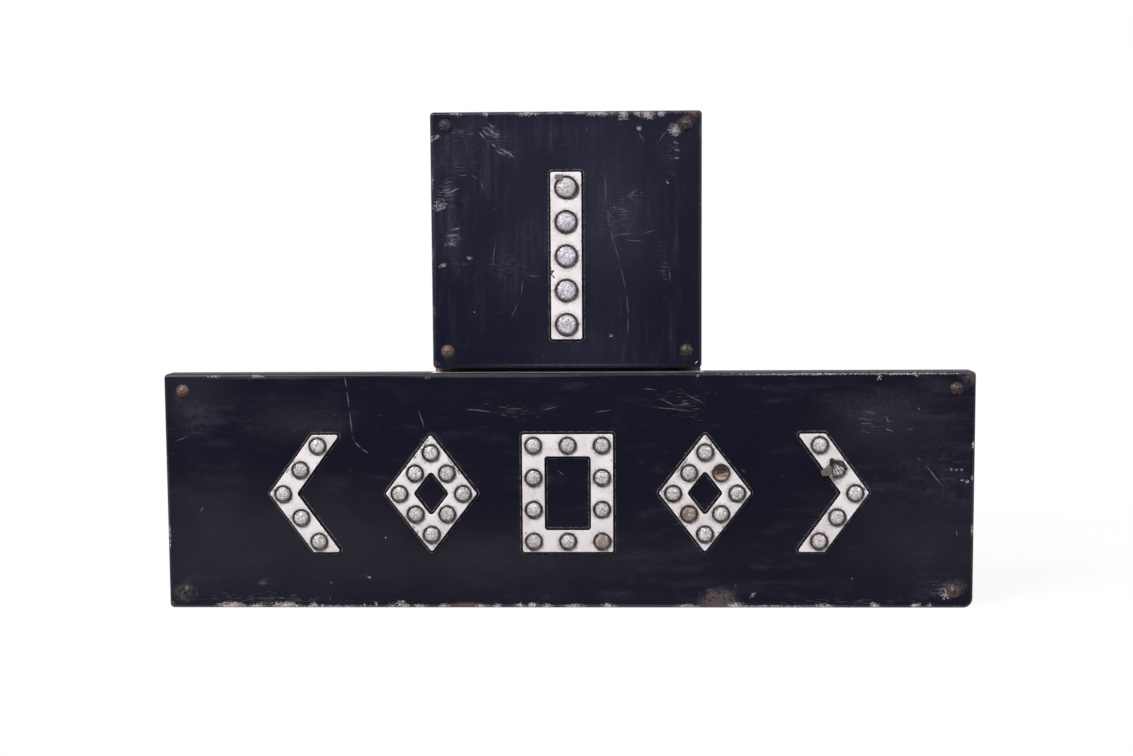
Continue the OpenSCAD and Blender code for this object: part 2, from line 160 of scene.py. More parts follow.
def inside(points, loops):
    """Even-odd test of points against closed loops."""
    hit = np.zeros(len(points), bool)
    x, z = points[:, 0], points[:, 1]
    for loop in loops:
        for (x0, z0), (x1, z1) in zip(loop, np.roll(loop, -1, 0)):
            if z0 == z1:
                continue
            crosses = (z0 > z) != (z1 > z)
            hit ^= crosses & (x < (x1 - x0) * (z - z0) / (z1 - z0) + x0)
    return hit


def distance_to(points, loops):
    """The distance of each point to the nearest of the loops."""
    best = np.full(len(points), 1e9)
    for loop in loops:
        for a, b in zip(loop, np.roll(loop, -1, 0)):
            ab = b - a
            t = np.clip(((points - a) @ ab) / max(float(ab @ ab), 1e-12), 0, 1)
            gap = points - a - t[:, None] * ab
            best = np.minimum(best, np.hypot(gap[:, 0], gap[:, 1]))
    return best


WELD = 2e-6


def join(mesh, distance):
    """Merge the vertices of a mesh that are closer than the distance, in metres."""
    bm = bmesh.new()
    bm.from_mesh(mesh)
    bmesh.ops.remove_doubles(bm, verts=bm.verts, dist=distance)
    bm.to_mesh(mesh)
    bm.free()


class Builder:
    """Collects faces in (x, z, h) and turns them into one object."""

    def __init__(self):
        self.points = []
        self.faces = []
        self.slots = []
        self.count = 0

    def add(self, points, faces, slot=0):
        self.points.append(np.asarray(points, float))
        self.faces += [[i + self.count for i in f] for f in faces]
        self.slots += [slot] * len(faces)
        self.count += len(points)

    def loft(self, loops, closed=False, slots=None):
        """Quads between matching loops, from the inner front one outward and back."""
        n = len(loops[0])
        spans = len(loops) if closed else len(loops) - 1
        for s in range(spans):
            pair = [loops[s], loops[(s + 1) % len(loops)]]
            faces = [[i, n + i, n + (i + 1) % n, (i + 1) % n] for i in range(n)]
            self.add(np.concatenate(pair), faces, slots[s] if slots else 0)

    def cap(self, loop, front=True):
        order = list(range(len(loop)))
        self.add(loop, [order if front else order[::-1]])

    def fill(self, loops, h, spacing, front=True):
        """A flat triangulated region between loops, with a grid of points inside it."""
        low = np.min([loop.min(0) for loop in loops], 0)
        high = np.max([loop.max(0) for loop in loops], 0)
        xs = np.arange(low[0] + spacing / 2, high[0], spacing)
        zs = np.arange(low[1] + spacing / 2, high[1], spacing)
        grid = np.array([(x + (j % 2) * spacing / 2, z) for j, z in enumerate(zs) for x in xs])
        grid = grid[inside(grid, loops)]
        grid = grid[distance_to(grid, loops) > spacing * 0.45]
        edges = []
        start = 0
        for loop in loops:
            n = len(loop)
            edges += [(start + i, start + (i + 1) % n) for i in range(n)]
            start += n
        pts = [Vector(p) for p in np.concatenate(loops + [grid])]
        flat, _, tris, *_ = delaunay_2d_cdt(pts, edges, [], 0, 1e-6)
        flat = np.array([tuple(p) for p in flat])
        tris = np.array([list(t) for t in tris])
        a, b, c = flat[tris[:, 0]], flat[tris[:, 1]], flat[tris[:, 2]]
        ab, ac = b - a, c - a
        area = ab[:, 0] * ac[:, 1] - ab[:, 1] * ac[:, 0]
        keep = inside((a + b + c) / 3, loops) & (np.abs(area) > 1e-7)
        tris = tris[keep]
        flip = (area[keep] > 0) != front
        tris[flip] = tris[flip][:, ::-1]
        self.add(at(flat, h), tris.tolist())

    def build(self, name, materials, shift=None, weld=WELD, smooth=True):
        pts = np.concatenate(self.points)
        if shift is not None:
            pts[:, 2] += shift(pts)
        place = np.stack([pts[:, 0], -(FACE_Y + pts[:, 2]), pts[:, 1]], 1) / 1000
        mesh = bpy.data.meshes.new(name)
        mesh.from_pydata(place.tolist(), [], self.faces)
        mesh.polygons.foreach_set("material_index", self.slots)
        if weld:
            join(mesh, weld)
        mesh.polygons.foreach_set("use_smooth", [smooth] * len(mesh.polygons))
        for material in materials:
            mesh.materials.append(material)
        obj = bpy.data.objects.new(name, mesh)
        bpy.context.scene.collection.objects.link(obj)
        return obj


def store(obj, name, values):
    attribute = obj.data.attributes.new(name, "FLOAT", "POINT")
    attribute.data.foreach_set("value", np.asarray(values, np.float32))


def flat_points(obj):
    """The (x, z) of an object's vertices, in mm."""
    co = np.empty(len(obj.data.vertices) * 3)
    obj.data.vertices.foreach_get("co", co)
    return co.reshape(-1, 3)[:, [0, 2]] * 1000


def dress(obj, nodes):
    """Tie an object to the frame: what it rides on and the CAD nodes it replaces."""
    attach(obj, "root")
    if nodes:
        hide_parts(*nodes)
    return obj


def weighted(obj):
    obj.modifiers.new("even_normals", "WEIGHTED_NORMAL").keep_sharp = True
    return obj


# Raised figures

def rectangle(w, h, x, z):
    right, left, top, bottom = x + w / 2, x - w / 2, z + h / 2, z - h / 2
    return [(right, bottom), (right, top), (left, top), (left, bottom)]


def bar(x, z, w, h):
    return rectangle(w, h, x, z), None


def square(x, z, w, h):
    return rectangle(w, h, x, z), rectangle(w - 2 * STROKE, h - 2 * STROKE, x, z)


def diamond(x, z, w, h):
    hole = 1 - STROKE / (w * h / 2 / math.hypot(w, h))
    rings = []
    for k in (1.0, hole):
        a, b = k * w / 2, k * h / 2
        rings.append([(x + a, z), (x, z + b), (x - a, z), (x, z - b)])
    return rings


def chevron(x, z, w, h):
    """A chevron that points away from the middle of the sign."""
    side = math.copysign(1, x)
    tip, fork = w / 2, w / 2 - (w - CHEVRON_RUN)
    top = h / 2
    half = [(tip, 0), (tip - CHEVRON_RUN, top), (fork - CHEVRON_RUN, top),
            (fork, 0), (fork - CHEVRON_RUN, -top), (tip - CHEVRON_RUN, -top)]
    return [(x + side * u, z + v) for u, v in half], None


# Reflectors: radii of the bezel, of the glass in view, of the hole, and of the grime and painted shade
# round it
LARGE = dict(outer=9.95, view=8.2, hole=8.9, grime=10.0)
SMALL = dict(outer=7.75, view=6.15, hole=7.1, grime=7.6)


def figure(name, draw, size):
    low, high = mm_box(name + "_facing")
    x, _, z = (low + high) / 2
    w, _, h = high - low
    outer, hole = draw(x, z, w, h)
    corners = [facing_left(outer)]
    if hole:
        corners.append(facing_left(hole, True))
    return dict(corners=corners, points=centres(name + "_bezels"), size=size)


FIGURES = {"bar": figure("bar", bar, LARGE)}
WORD_MARKS = dict(left_chevron=chevron, left_diamond=diamond, square=square, right_diamond=diamond,
                  right_chevron=chevron)
for mark, draw in WORD_MARKS.items():
    FIGURES[mark] = figure(mark, draw, SMALL)
FILLETS = (1.7, 2.6)


def figure_loops(shape, offset, spacing=4.0):
    return [outline(corners, offset, FILLETS, spacing) for corners in shape["corners"]]


def figure_walls(b, shape, section, spacing=4.0, slots=None):
    """Walls along the figure's outlines, from a section of (offset outward, height)."""
    rings = [figure_loops(shape, offset, spacing) for offset, _ in section]
    for loops in zip(*rings):
        b.loft([at(loop, h) for loop, (_, h) in zip(loops, section)], slots=slots)


WAVE_H = 0.28
DISH_D = 0.2
STRAIGHT_W = 25.0


def warp_at(x, z):
    """Slow waves of the pressed sheet, and its dished corners, in mm of height."""
    panel = NUMBER if z > 0 else WORD
    bolts = BOLT_SETS["number_corner_bolts" if z > 0 else "word_corner_bolts"]
    edge = min(panel["w"] / 2 - abs(x), panel["h"] / 2 - abs(z - panel["z"]))
    fade = min(max(edge / STRAIGHT_W, 0.0), 1.0)
    wave = noise.noise(Vector((x / 95.0, z / 70.0, 3.7)))
    ripple = noise.noise(Vector((x / 38.0, z / 38.0, 9.1)))
    dish = sum(math.exp(-((x - bx) ** 2 + (z - bz) ** 2) / 150.0) for bx, bz in bolts)
    return WAVE_H * (wave + 0.4 * ripple) * fade * fade * (3 - 2 * fade) - DISH_D * dish


def warp(points):
    depth = np.clip(1 + points[:, 2] / PAN_DEPTH, 0, 1)
    return np.array([warp_at(x, z) for x, z, _ in points]) * depth


# Node materials

class Value:
    """A number in a shader. It adds, subtracts and multiplies like a plain one."""

    def __init__(self, shader, socket):
        self.shader = shader
        self.socket = socket

    def __add__(self, other):
        return self.shader.math("ADD", self, other)

    def __radd__(self, other):
        return self.shader.math("ADD", other, self)

    def __sub__(self, other):
        return self.shader.math("SUBTRACT", self, other)

    def __rsub__(self, other):
        return self.shader.math("SUBTRACT", other, self)

    def __mul__(self, other):
        return self.shader.math("MULTIPLY", self, other)


class Shader:
    """The nodes of a material or world, with short calls for those that it needs."""

    def __init__(self, owner, output):
        self.owner = owner
        owner.use_nodes = True
        self.tree = owner.node_tree
        self.tree.nodes.clear()
        self.output = self.node(output)

    def put(self, socket, value):
        value = getattr(value, "socket", value)
        if isinstance(value, bpy.types.NodeSocket):
            self.tree.links.new(value, socket)
        elif isinstance(value, tuple) and len(value) == 3 and socket.type == "RGBA":
            socket.default_value = (*value, 1)
        else:
            socket.default_value = value

    def node(self, kind, inputs=(), **settings):
        n = self.tree.nodes.new("ShaderNode" + kind)
        for key, value in settings.items():
            setattr(n, key, value)
        for key, value in dict(inputs).items():
            self.put(n.inputs[key], value)
        return n

    def value(self, kind, inputs=(), output=0, **settings):
        return Value(self, self.node(kind, inputs, **settings).outputs[output])

    def close(self, closure):
        """Send a closure to the output, and return the material or world."""
        self.put(self.output.inputs["Surface"], closure)
        return self.owner

    def parts(self, vector):
        return [Value(self, socket) for socket in self.node("SeparateXYZ", {0: vector}).outputs]

    def rays(self, *names):
        """One for rays of these kinds, such as Camera."""
        path = self.node("LightPath").outputs
        seen = Value(self, path[f"Is {names[0]} Ray"])
        for name in names[1:]:
            seen = self.top(seen, Value(self, path[f"Is {name} Ray"]))
        return seen

    def math(self, operation, a, b):
        return self.value("Math", {0: a, 1: b}, operation=operation)

    def top(self, a, b):
        return self.math("MAXIMUM", a, b)

    def size(self, a):
        return self.value("Math", {0: a}, operation="ABSOLUTE")

    def mix(self, factor, a, b):
        return self.node("Mix", {0: factor, 6: a, 7: b}, data_type="RGBA").outputs[2]

    def blend(self, value, low, high, a, b):
        """From a to b, as the value goes from low to high."""
        return self.mix(self.ramp(value, low, high), a, b)

    def ramp(self, value, low, high, to_low=0, to_high=1):
        inputs = {0: value, 1: low, 2: high, 3: to_low, 4: to_high}
        return self.value("MapRange", inputs, interpolation_type="SMOOTHSTEP")


class Material(Shader):
    """A material's shader: mm is the place in the object, and flat the place (x, z) alone."""

    def __init__(self, name):
        super().__init__(bpy.data.materials.new(name), "OutputMaterial")
        self.mm = self.vector("SCALE", self.node("TexCoord").outputs["Object"], scale=1000)
        self.x, self.y, self.z = self.parts(self.mm)
        self.flat = self.node("CombineXYZ", {0: self.x, 1: self.z}).outputs[0]

    def attribute(self, name):
        return self.value("Attribute", output="Fac", attribute_name=name)

    def vector(self, operation, a, b=None, scale=None):
        inputs = {0: a}
        if b is not None:
            inputs[1] = b
        if scale is not None:
            inputs[3] = scale
        return self.node("VectorMath", inputs, operation=operation).outputs[0]

    def centred(self, vector, scale):
        """A vector of values from 0 to 1, moved about zero and scaled."""
        return self.vector("SCALE", self.vector("SUBTRACT", vector, (0.5, 0.5, 0.5)), scale=scale)

    def place(self, vector, scale=(1, 1, 1), turn=0, axis=2, move=(0, 0, 0)):
        turns = [0, 0, 0]
        turns[axis] = math.radians(turn)
        return self.node("Mapping", {0: vector, 1: move, 2: turns, 3: scale}).outputs[0]

    def noise(self, scale, detail=3, rough=0.55, vector=None, output=0):
        inputs = {"Vector": vector or self.mm, "Scale": scale, "Detail": detail, "Roughness": rough}
        return self.value("TexNoise", inputs, output)

    def cells(self, scale, vector=None, output="Distance"):
        return self.value("TexVoronoi", {"Vector": vector or self.mm, "Scale": scale}, output)

    def wander(self, scale, reach):
        """The flat place moved about by noise, up to reach in mm."""
        push = self.centred(self.noise(scale, 2, 0.5, output=1), 4 * reach)
        return self.vector("ADD", self.flat, push)

    def spots(self, table, vector=None):
        """The highest of soft ellipses (x, z, half length, half width, strength, degrees).

        A row may leave out its degrees, or both its strength of 1 and its degrees. The vector's
        third part carries the highest so far. So each ellipse waits for the one before, and
        Cycles never holds many values at once.
        """
        far = 1e9
        carried = self.vector("MULTIPLY", vector or self.flat, (1, 1, 0))
        for x, z, a, b, *more in table:
            strength, turn = more + [1, 0][len(more):]
            inputs = {0: carried, 1: (x, z, 0), 2: (0, 0, math.radians(turn)), 3: (a, b, far)}
            local = self.node("Mapping", inputs, vector_type="TEXTURE").outputs[0]
            r = self.value("VectorMath", {0: local}, "Value", operation="LENGTH")
            one = self.value("MapRange", {0: r, 1: 1, 2: 0, 3: 0, 4: strength})
            lifted = self.node("CombineXYZ", {0: -far, 1: -far, 2: one}).outputs[0]
            carried = self.vector("MAXIMUM", carried, lifted)
        return self.parts(carried)[2]

    def bump(self, height, distance, strength=1, normal=None):
        inputs = {"Height": height, "Distance": distance, "Strength": strength}
        if normal is not None:
            inputs["Normal"] = normal
        return self.node("Bump", inputs).outputs[0]

    def surface(self, color, rough, normal, **inputs):
        """The material, with inputs named as in the Principled shader."""
        named = {"Base Color": color, "Roughness": rough, "Normal": normal}
        for key, value in inputs.items():
            named[key.replace("_", " ").title().replace("Ior", "IOR")] = value
        return self.close(self.node("BsdfPrincipled", named).outputs[0])


def strokes(half_width, strength, table):
    """Long ellipses for spots(), one along each part of the lines (x0, z0, x1, z1, ...)."""
    out = []
    for line in table:
        corners = list(zip(line[::2], line[1::2]))
        for (x0, z0), (x1, z1) in zip(corners, corners[1:]):
            turn = math.degrees(math.atan2(z1 - z0, x1 - x0))
            length = math.hypot(x1 - x0, z1 - z0)
            middle = ((x0 + x1) / 2, (z0 + z1) / 2)
            out.append((*middle, length / 2 + half_width, half_width, strength, turn))
    return out


# Wear seen in the photograph, with painted highlights along the bends in the edges tables:
# bent lines (x0, z0, x1, z1, ...) in strokes(), and otherwise ellipses (x, z, half length,
# half width, strength, degrees), whose strength is 1 if not given

NUMBER_WEAR = dict(
    scratches=strokes(1, 0.9, [
        (-70, 202, -64, 196), (-66, 203, -57, 197), (-64, 206, -59, 203), (-61, 199, -54, 197),
        (-56, 187, -46, 180), (-58, 184, -51, 180), (-50, 184, -43, 178), (-62, 190, -58, 187),
        (-73, 200, -67, 194), (-97, 118, -88, 120), (-102, 113, -90, 115), (-100, 107, -92, 105),
        (-100, 148, -87, 154), (89, 196, 94, 196), (89, 190, 94, 189), (90, 184, 95, 183),
        (90, 177, 95, 177),
    ]) + strokes(0.6, 0.55, [
        (39, 142, 42, 132), (35, 136, 39, 124), (-92, 163, -80, 165, -72, 160, -68, 151),
        (75, 188, 86, 202), (59, 200, 67, 189), (50, 146, 62, 151), (34, 113, 62, 115), (45, 110, 69, 107),
        (62, 113, 76, 118), (-36, 80, -39, 60, -48, 42), (-59, 114, -62, 81), (-36, 80, -19, 79),
        (86, 88, 87, 72), (60, 152, 52, 142),
    ]),
    scuffs=[
        (-62, 199, 20, 11, 1, -35), (-50, 183, 16, 9, 1, -38), (-86, 199, 22, 10, 0.8, 8),
        (-100, 150, 14, 20), (-95, 111, 13, 12, 1, 8), (48, 134, 28, 26, 0.7), (40, 188, 12, 18, 0.3, 30),
        (88, 178, 10, 34, 0.45), (-90, 172, 30, 9, 0.6), (-48, 92, 32, 22, 0.5, 20), (82, 84, 9, 28, 0.7),
        (-92, 90, 20, 12, 0.6),
    ],
    chips=[
        (-91, 215.7, 7, 3.6), (-66.5, 215.3, 3.6, 4.4, 1.2), (-31, 215.5, 14, 4, 1.2), (-8, 215.9, 12, 2.4),
        (12, 215.3, 9, 2.6), (28, 214.5, 18, 3.4, 1.1), (48, 213.9, 6, 5, 1.3), (60, 214.3, 5, 3.4, 1.1),
        (68, 213.5, 9, 5.6, 1.3), (80, 214.5, 5, 4.4, 1.2), (90.4, 200.4, 6.6, 7, 1.2, 20),
        (61, 202, 2.6, 3.4, 1, 60), (-112.3, 194, 2.4, 6, 0.8), (-108, 196, 4, 2.4, 0.8, 20),
        (-112.5, 160, 2.4, 12, 0.7), (-112.5, 98, 2, 9, 0.8), (-106, 139, 8, 6, 0.9, 25),
        (112.7, 199, 1.6, 7, 0.8), (-97, 108, 8, 3.6, 0.6, 20), (-104, 89, 5.2, 2.2, 1, 20),
        (-82, 95, 4, 2, 1, -10), (84.6, 157, 1.3, 1.2, 1.3), (-78, 50, 1.6, 1.5, 1.2),
        (37, 29, 2, 1.9, 1.2), (48, 209.5, 7, 1.4, 0.8), (-112.5, 50, 1.4, 9, 0.7),
    ],
    rust=[
        (106, 214.9, 9, 4.6, 1.2), (92, 215.9, 8, 3, 0.9), (72, 215.5, 4, 3, 0.8),
        (-20, 216.3, 12, 1.8, 0.8), (-112.5, 4.2, 3, 7, 0.9),
    ],
    stains=[
        (99, 206, 11, 7, 0.9, 30), (-100, 205, 9, 6, 0.4),
    ],
    # Worn edge paint and painted highlights along the bends; the stroke is a scratch
    edges=[
        (-110.3, 110, 0.9, 100, 0.7), (-112.3, 110, 0.8, 104, 0.5), (0, 4.7, 108, 1.5, 0.9),
        (0, 214.5, 108, 1, 0.9), (110.9, 100, 0.9, 95, 0.3),
    ] + strokes(0.8, 1.4, [
        (32, 166, 34, 136, 36, 120, 40, 107, 45, 89, 50, 66, 52, 45, 51, 30),
    ]),
    clouds=[
        (-88, 180, 36, 34, 0.8), (-95, 115, 26, 50, 0.8), (42, 130, 46, 70, 0.9, 8), (86, 185, 18, 34, 0.7),
        (-60, 190, 44, 28, 0.8), (-46, 90, 40, 40, 0.6), (86, 90, 16, 50, 0.3), (0, 200, 90, 14, 0.4),
    ],
    tones=[
        (-25, 120, 80, 150, 0.7), (30, 130, 70, 130, 1.2), (-90, 190, 60, 50, 0.5), (12, 20, 78, 80),
    ],
)
WORD_WEAR = dict(
    scratches=strokes(0.45, 1.1, [
        (-189, -4, -187, -15, -185, -32, -183, -55), (-181, -60, -175, -66, -169, -70),
        (299, -78, 319, -102), (328, -136, 329, -142), (-315, -121, -311, -115), (-89, -32, -62, -35),
        (-127, -32, -121, -50), (-118, -54, -112, -62), (268, -39, 271, -46), (267, -50, 275, -53),
    ]) + strokes(0.7, 0.6, [
        (-336, -59, -322, -55), (293, -74, 299, -78), (285, -52, 291, -50), (-23, -34, -6, -30),
        (62, -30, 112, -36), (247, -35, 264, -38), (96, -18, 118, -30), (74, -22, 96, -33),
        (60, -15, 78, -17), (-10, -84, -2, -90), (146, -84, 151, -88), (20, -36, 40, -33),
    ]),
    scuffs=[
        (-318, -42, 26, 28, 0.45, 20), (-206, -44, 40, 12, 0.4, 5), (98, -28, 36, 16, 0.8, -25),
        (-50, -34, 44, 10, 0.7, -5), (255, -44, 30, 18, 0.7), (316, -188, 26, 14),
        (-330, -190, 18, 14, 0.8), (318, -90, 16, 24, 0.6, -40), (128, -190, 30, 12, 0.7),
        (-262, -182, 12, 10, 0.9, 35), (-250, -196, 90, 9, 0.9), (240, -198, 100, 6, 0.7),
    ],
    chips=[
        (-290, -202.6, 17, 5.6, 1.3), (-267, -202.8, 11, 4.2, 1.15), (-243, -202.4, 17, 5.8, 1.3),
        (-219, -201.8, 5, 4.2, 1.1, 30), (-211, -201, 2, 2, 1.1), (-175, -202, 2, 2.4, 1.1),
        (-165, -199.8, 1.6, 2.4, 1.1), (-151, -202.4, 6, 3.8, 1.15), (-141, -201.4, 9, 4.4, 1.1, -30),
        (-127, -202.6, 9, 3.4, 1.1), (-106, -202.2, 8, 3.6), (-76, -202.6, 11, 3.2, 1.15),
        (-61, -202.2, 6, 3.8, 1.1), (-42, -202.2, 7, 3.8), (-31, -201.8, 8, 4.2, 1.1, 20),
        (-18, -202.2, 7, 3.6, 1.1), (6, -202.8, 14, 3.6, 1.1), (34, -202.8, 10, 4, 1.15),
        (100, -203, 14, 3.6, 1.1), (142, -202.6, 12, 5.2, 1.3), (157, -192, 6, 2.6, 0.5, 50),
        (217, -202.6, 14, 3.8, 1.1), (260, -202.2, 6, 4.2, 1.15), (294.5, -201.6, 6.4, 2.8, 1.5, 5),
        (306, -201.4, 4, 2.6), (-200, -203, 60, 2.4, 0.8), (180, -203, 90, 2.4, 0.8),
        (321, -191, 9, 7, 0.75), (-301, -3.9, 10, 1.4, 0.6), (-263, -3.9, 8, 1.8, 0.9),
        # The long rows at z -3.7 and -3.8 run along the top bend: worn edge paint and a painted highlight
        (-118, -6, 6, 3, 0.32, 20), (110, -4.9, 1.8, 1.3), (205, -3.7, 110, 0.8, 1.05),
        (288, -3.8, 56, 0.9, 1.15), (262, -6.7, 2.6, 4), (293, -5.4, 1.8, 2.4, 0.9, 40),
        (341.4, -64, 2, 5, 1.2), (323, -85, 1.9, 1.7, 1.2), (327.5, -85, 1.4, 1.4, 1.2),
        (331.5, -85, 1.4, 1.4, 1.1), (336.5, -95, 2, 1.8, 1.1), (341, -92, 2, 2.2, 1.1),
        (332, -94.5, 1.7, 1.5), (341.6, -137, 2, 8), (-342, -140, 2.2, 16, 0.9),
        (-156, -143, 1.3, 1.3, 1.3), (-170, -177, 1.6, 1.5, 1.2), (-119, -82, 1.4, 1.4, 1.2),
        (330, -204, 9, 2.4),
    ],
    rust=[
        (-87, -203, 16, 5.4, 1.1), (-285, -204.5, 18, 3, 0.9), (-243, -204.5, 17, 3, 0.9),
        (128, -203, 16, 4, 0.8), (-341, -202, 5, 6), (340, -3.1, 8, 5, 0.9, -20),
    ],
    stains=[
        (128, -198, 21, 15, 0.95), (327, -186, 13, 10, 0.7), (-329, -190, 13, 11, 0.7),
        (338, -7.1, 14, 8, 0.5, -20), (-87, -203, 26, 6, 0.8), (-328, -20, 11, 9, 0.3),
    ],
    # Worn edge paint and painted highlights along the bends; the stroke is a scratch
    edges=[
        (-250, -5.5, 90, 1.3, 0.9), (-60, -4.9, 110, 1, 1.5), (180, -4.3, 100, 0.9, 1.2),
        (290, -3.7, 56, 1, 6), (0, -201.2, 330, 1, 0.8), (-341.4, -110, 1, 90, 0.8),
        (341.4, -110, 1, 90, 0.8),
    ] + strokes(0.6, 1.2, [
        (-189, -3, -187, -15, -185, -32, -183, -55, -181, -60, -175, -66, -169, -70),
    ]),
    clouds=[
        (-316, -38, 34, 36, 1.2, 15), (-220, -44, 60, 20, 0.9), (312, -180, 44, 26, 0.9),
        (-300, -186, 70, 20, 0.8), (60, -193, 130, 12, 0.6), (262, -55, 50, 30, 0.7),
        (-330, -120, 22, 70, 0.5), (320, -110, 30, 60, 0.7), (-220, -95, 60, 16, 0.4),
        (265, -34, 60, 24, 1.6), (-310, -100, 80, 130, 0.45), (310, -100, 90, 130, 0.8),
        (0, -160, 200, 26, 0.35),
    ],
    tones=[
        (-270, -145, 260, 75, 1.3), (-100, -160, 330, 55, 0.9), (265, -50, 90, 50, 0.9),
        (290, -145, 140, 70, 0.9), (-320, -12, 60, 40, 0.9), (-235, -42, 60, 34, 0.7),
    ],
)


def rubbed(s, wear, foot, coarse, slow, streaks):
    """Haze of the paint, in slow clouds, in long streaks and round the figures."""
    streak = s.noise(1, 4, 0.65, s.place(s.mm, streaks))
    haze = s.ramp(streak, 0.38, 0.75) * s.ramp(slow, 0.32, 0.66)
    cloud = s.spots(wear["clouds"]) * s.ramp(coarse, 0.25, 0.75, 0.25, 1)
    halo = s.ramp(foot, 6.5, 2) * s.ramp(slow, 0.45, 0.62)
    return s.ramp(haze * 0.75 + cloud * 0.9 + halo * 0.3, 0, 1.3)


def scratched(s, wear, grain):
    """Single scratches, and three sets of fine lines, thickest where the sign was scuffed."""
    scuffed = s.spots(wear["scuffs"])
    fine = None
    for turn, along in ((-36, 0.075), (22, 0.075), (68, 0.06)):
        lines = s.noise(1, 3, 0.6, s.place(s.flat, (along, 1.5, 1), turn, 2, (turn * 3.1, 0, 0)))
        one = s.ramp(lines - (0.69 - scuffed * 0.14), 0, 0.05)
        fine = one if fine is None else s.top(fine, one)
    single = s.ramp(s.spots(wear["scratches"], s.wander(0.05, 0.6)), 0.05, 0.75)
    return s.top(single * s.ramp(grain, 0.34, 0.56), fine * (0.22 + scuffed * 0.42))


def chipped(s, wear, torn, rag, coarse, edge):
    """Chips, rubbed edges and small dots of bare primer, none of them behind the bend."""
    chip = s.ramp(s.spots(wear["chips"], torn) - rag, -0.02, 0.1)
    rub = s.ramp(edge, 2.4, 0.8) * s.ramp(coarse, 0.57, 0.66)
    dots = s.ramp(s.cells(0.07), 0.055, 0.03) * s.ramp(edge, 3, 8)
    dots = dots * s.ramp(s.noise(0.03, 2), 0.52, 0.62)
    chip = s.top(s.top(chip, rub * 0.22), dots * 0.5)
    return chip * (s.ramp(s.y, 1.3 - FACE_Y, 0.5 - FACE_Y) * s.ramp(edge, 0.2, 0.9))


def dust_and_highlight_mask(s, panel, grain):
    """Where dust lies on top of the upper flange; under the number pan it carries a painted highlight."""
    top = panel["z"] + panel["h"] / 2
    drift = s.noise(1, 4, 0.65, s.place(s.mm, (0.06, 0.3, 0.3)))
    dust_and_highlight = s.ramp(s.y, 2.2 - FACE_Y, 4.2 - FACE_Y) * s.ramp(drift, 0.36, 0.6, 0.7, 1)
    return dust_and_highlight * s.ramp(s.z, top - 1.5, top - 0.5) * s.ramp(grain, 0.3, 0.55, 0.75, 1)


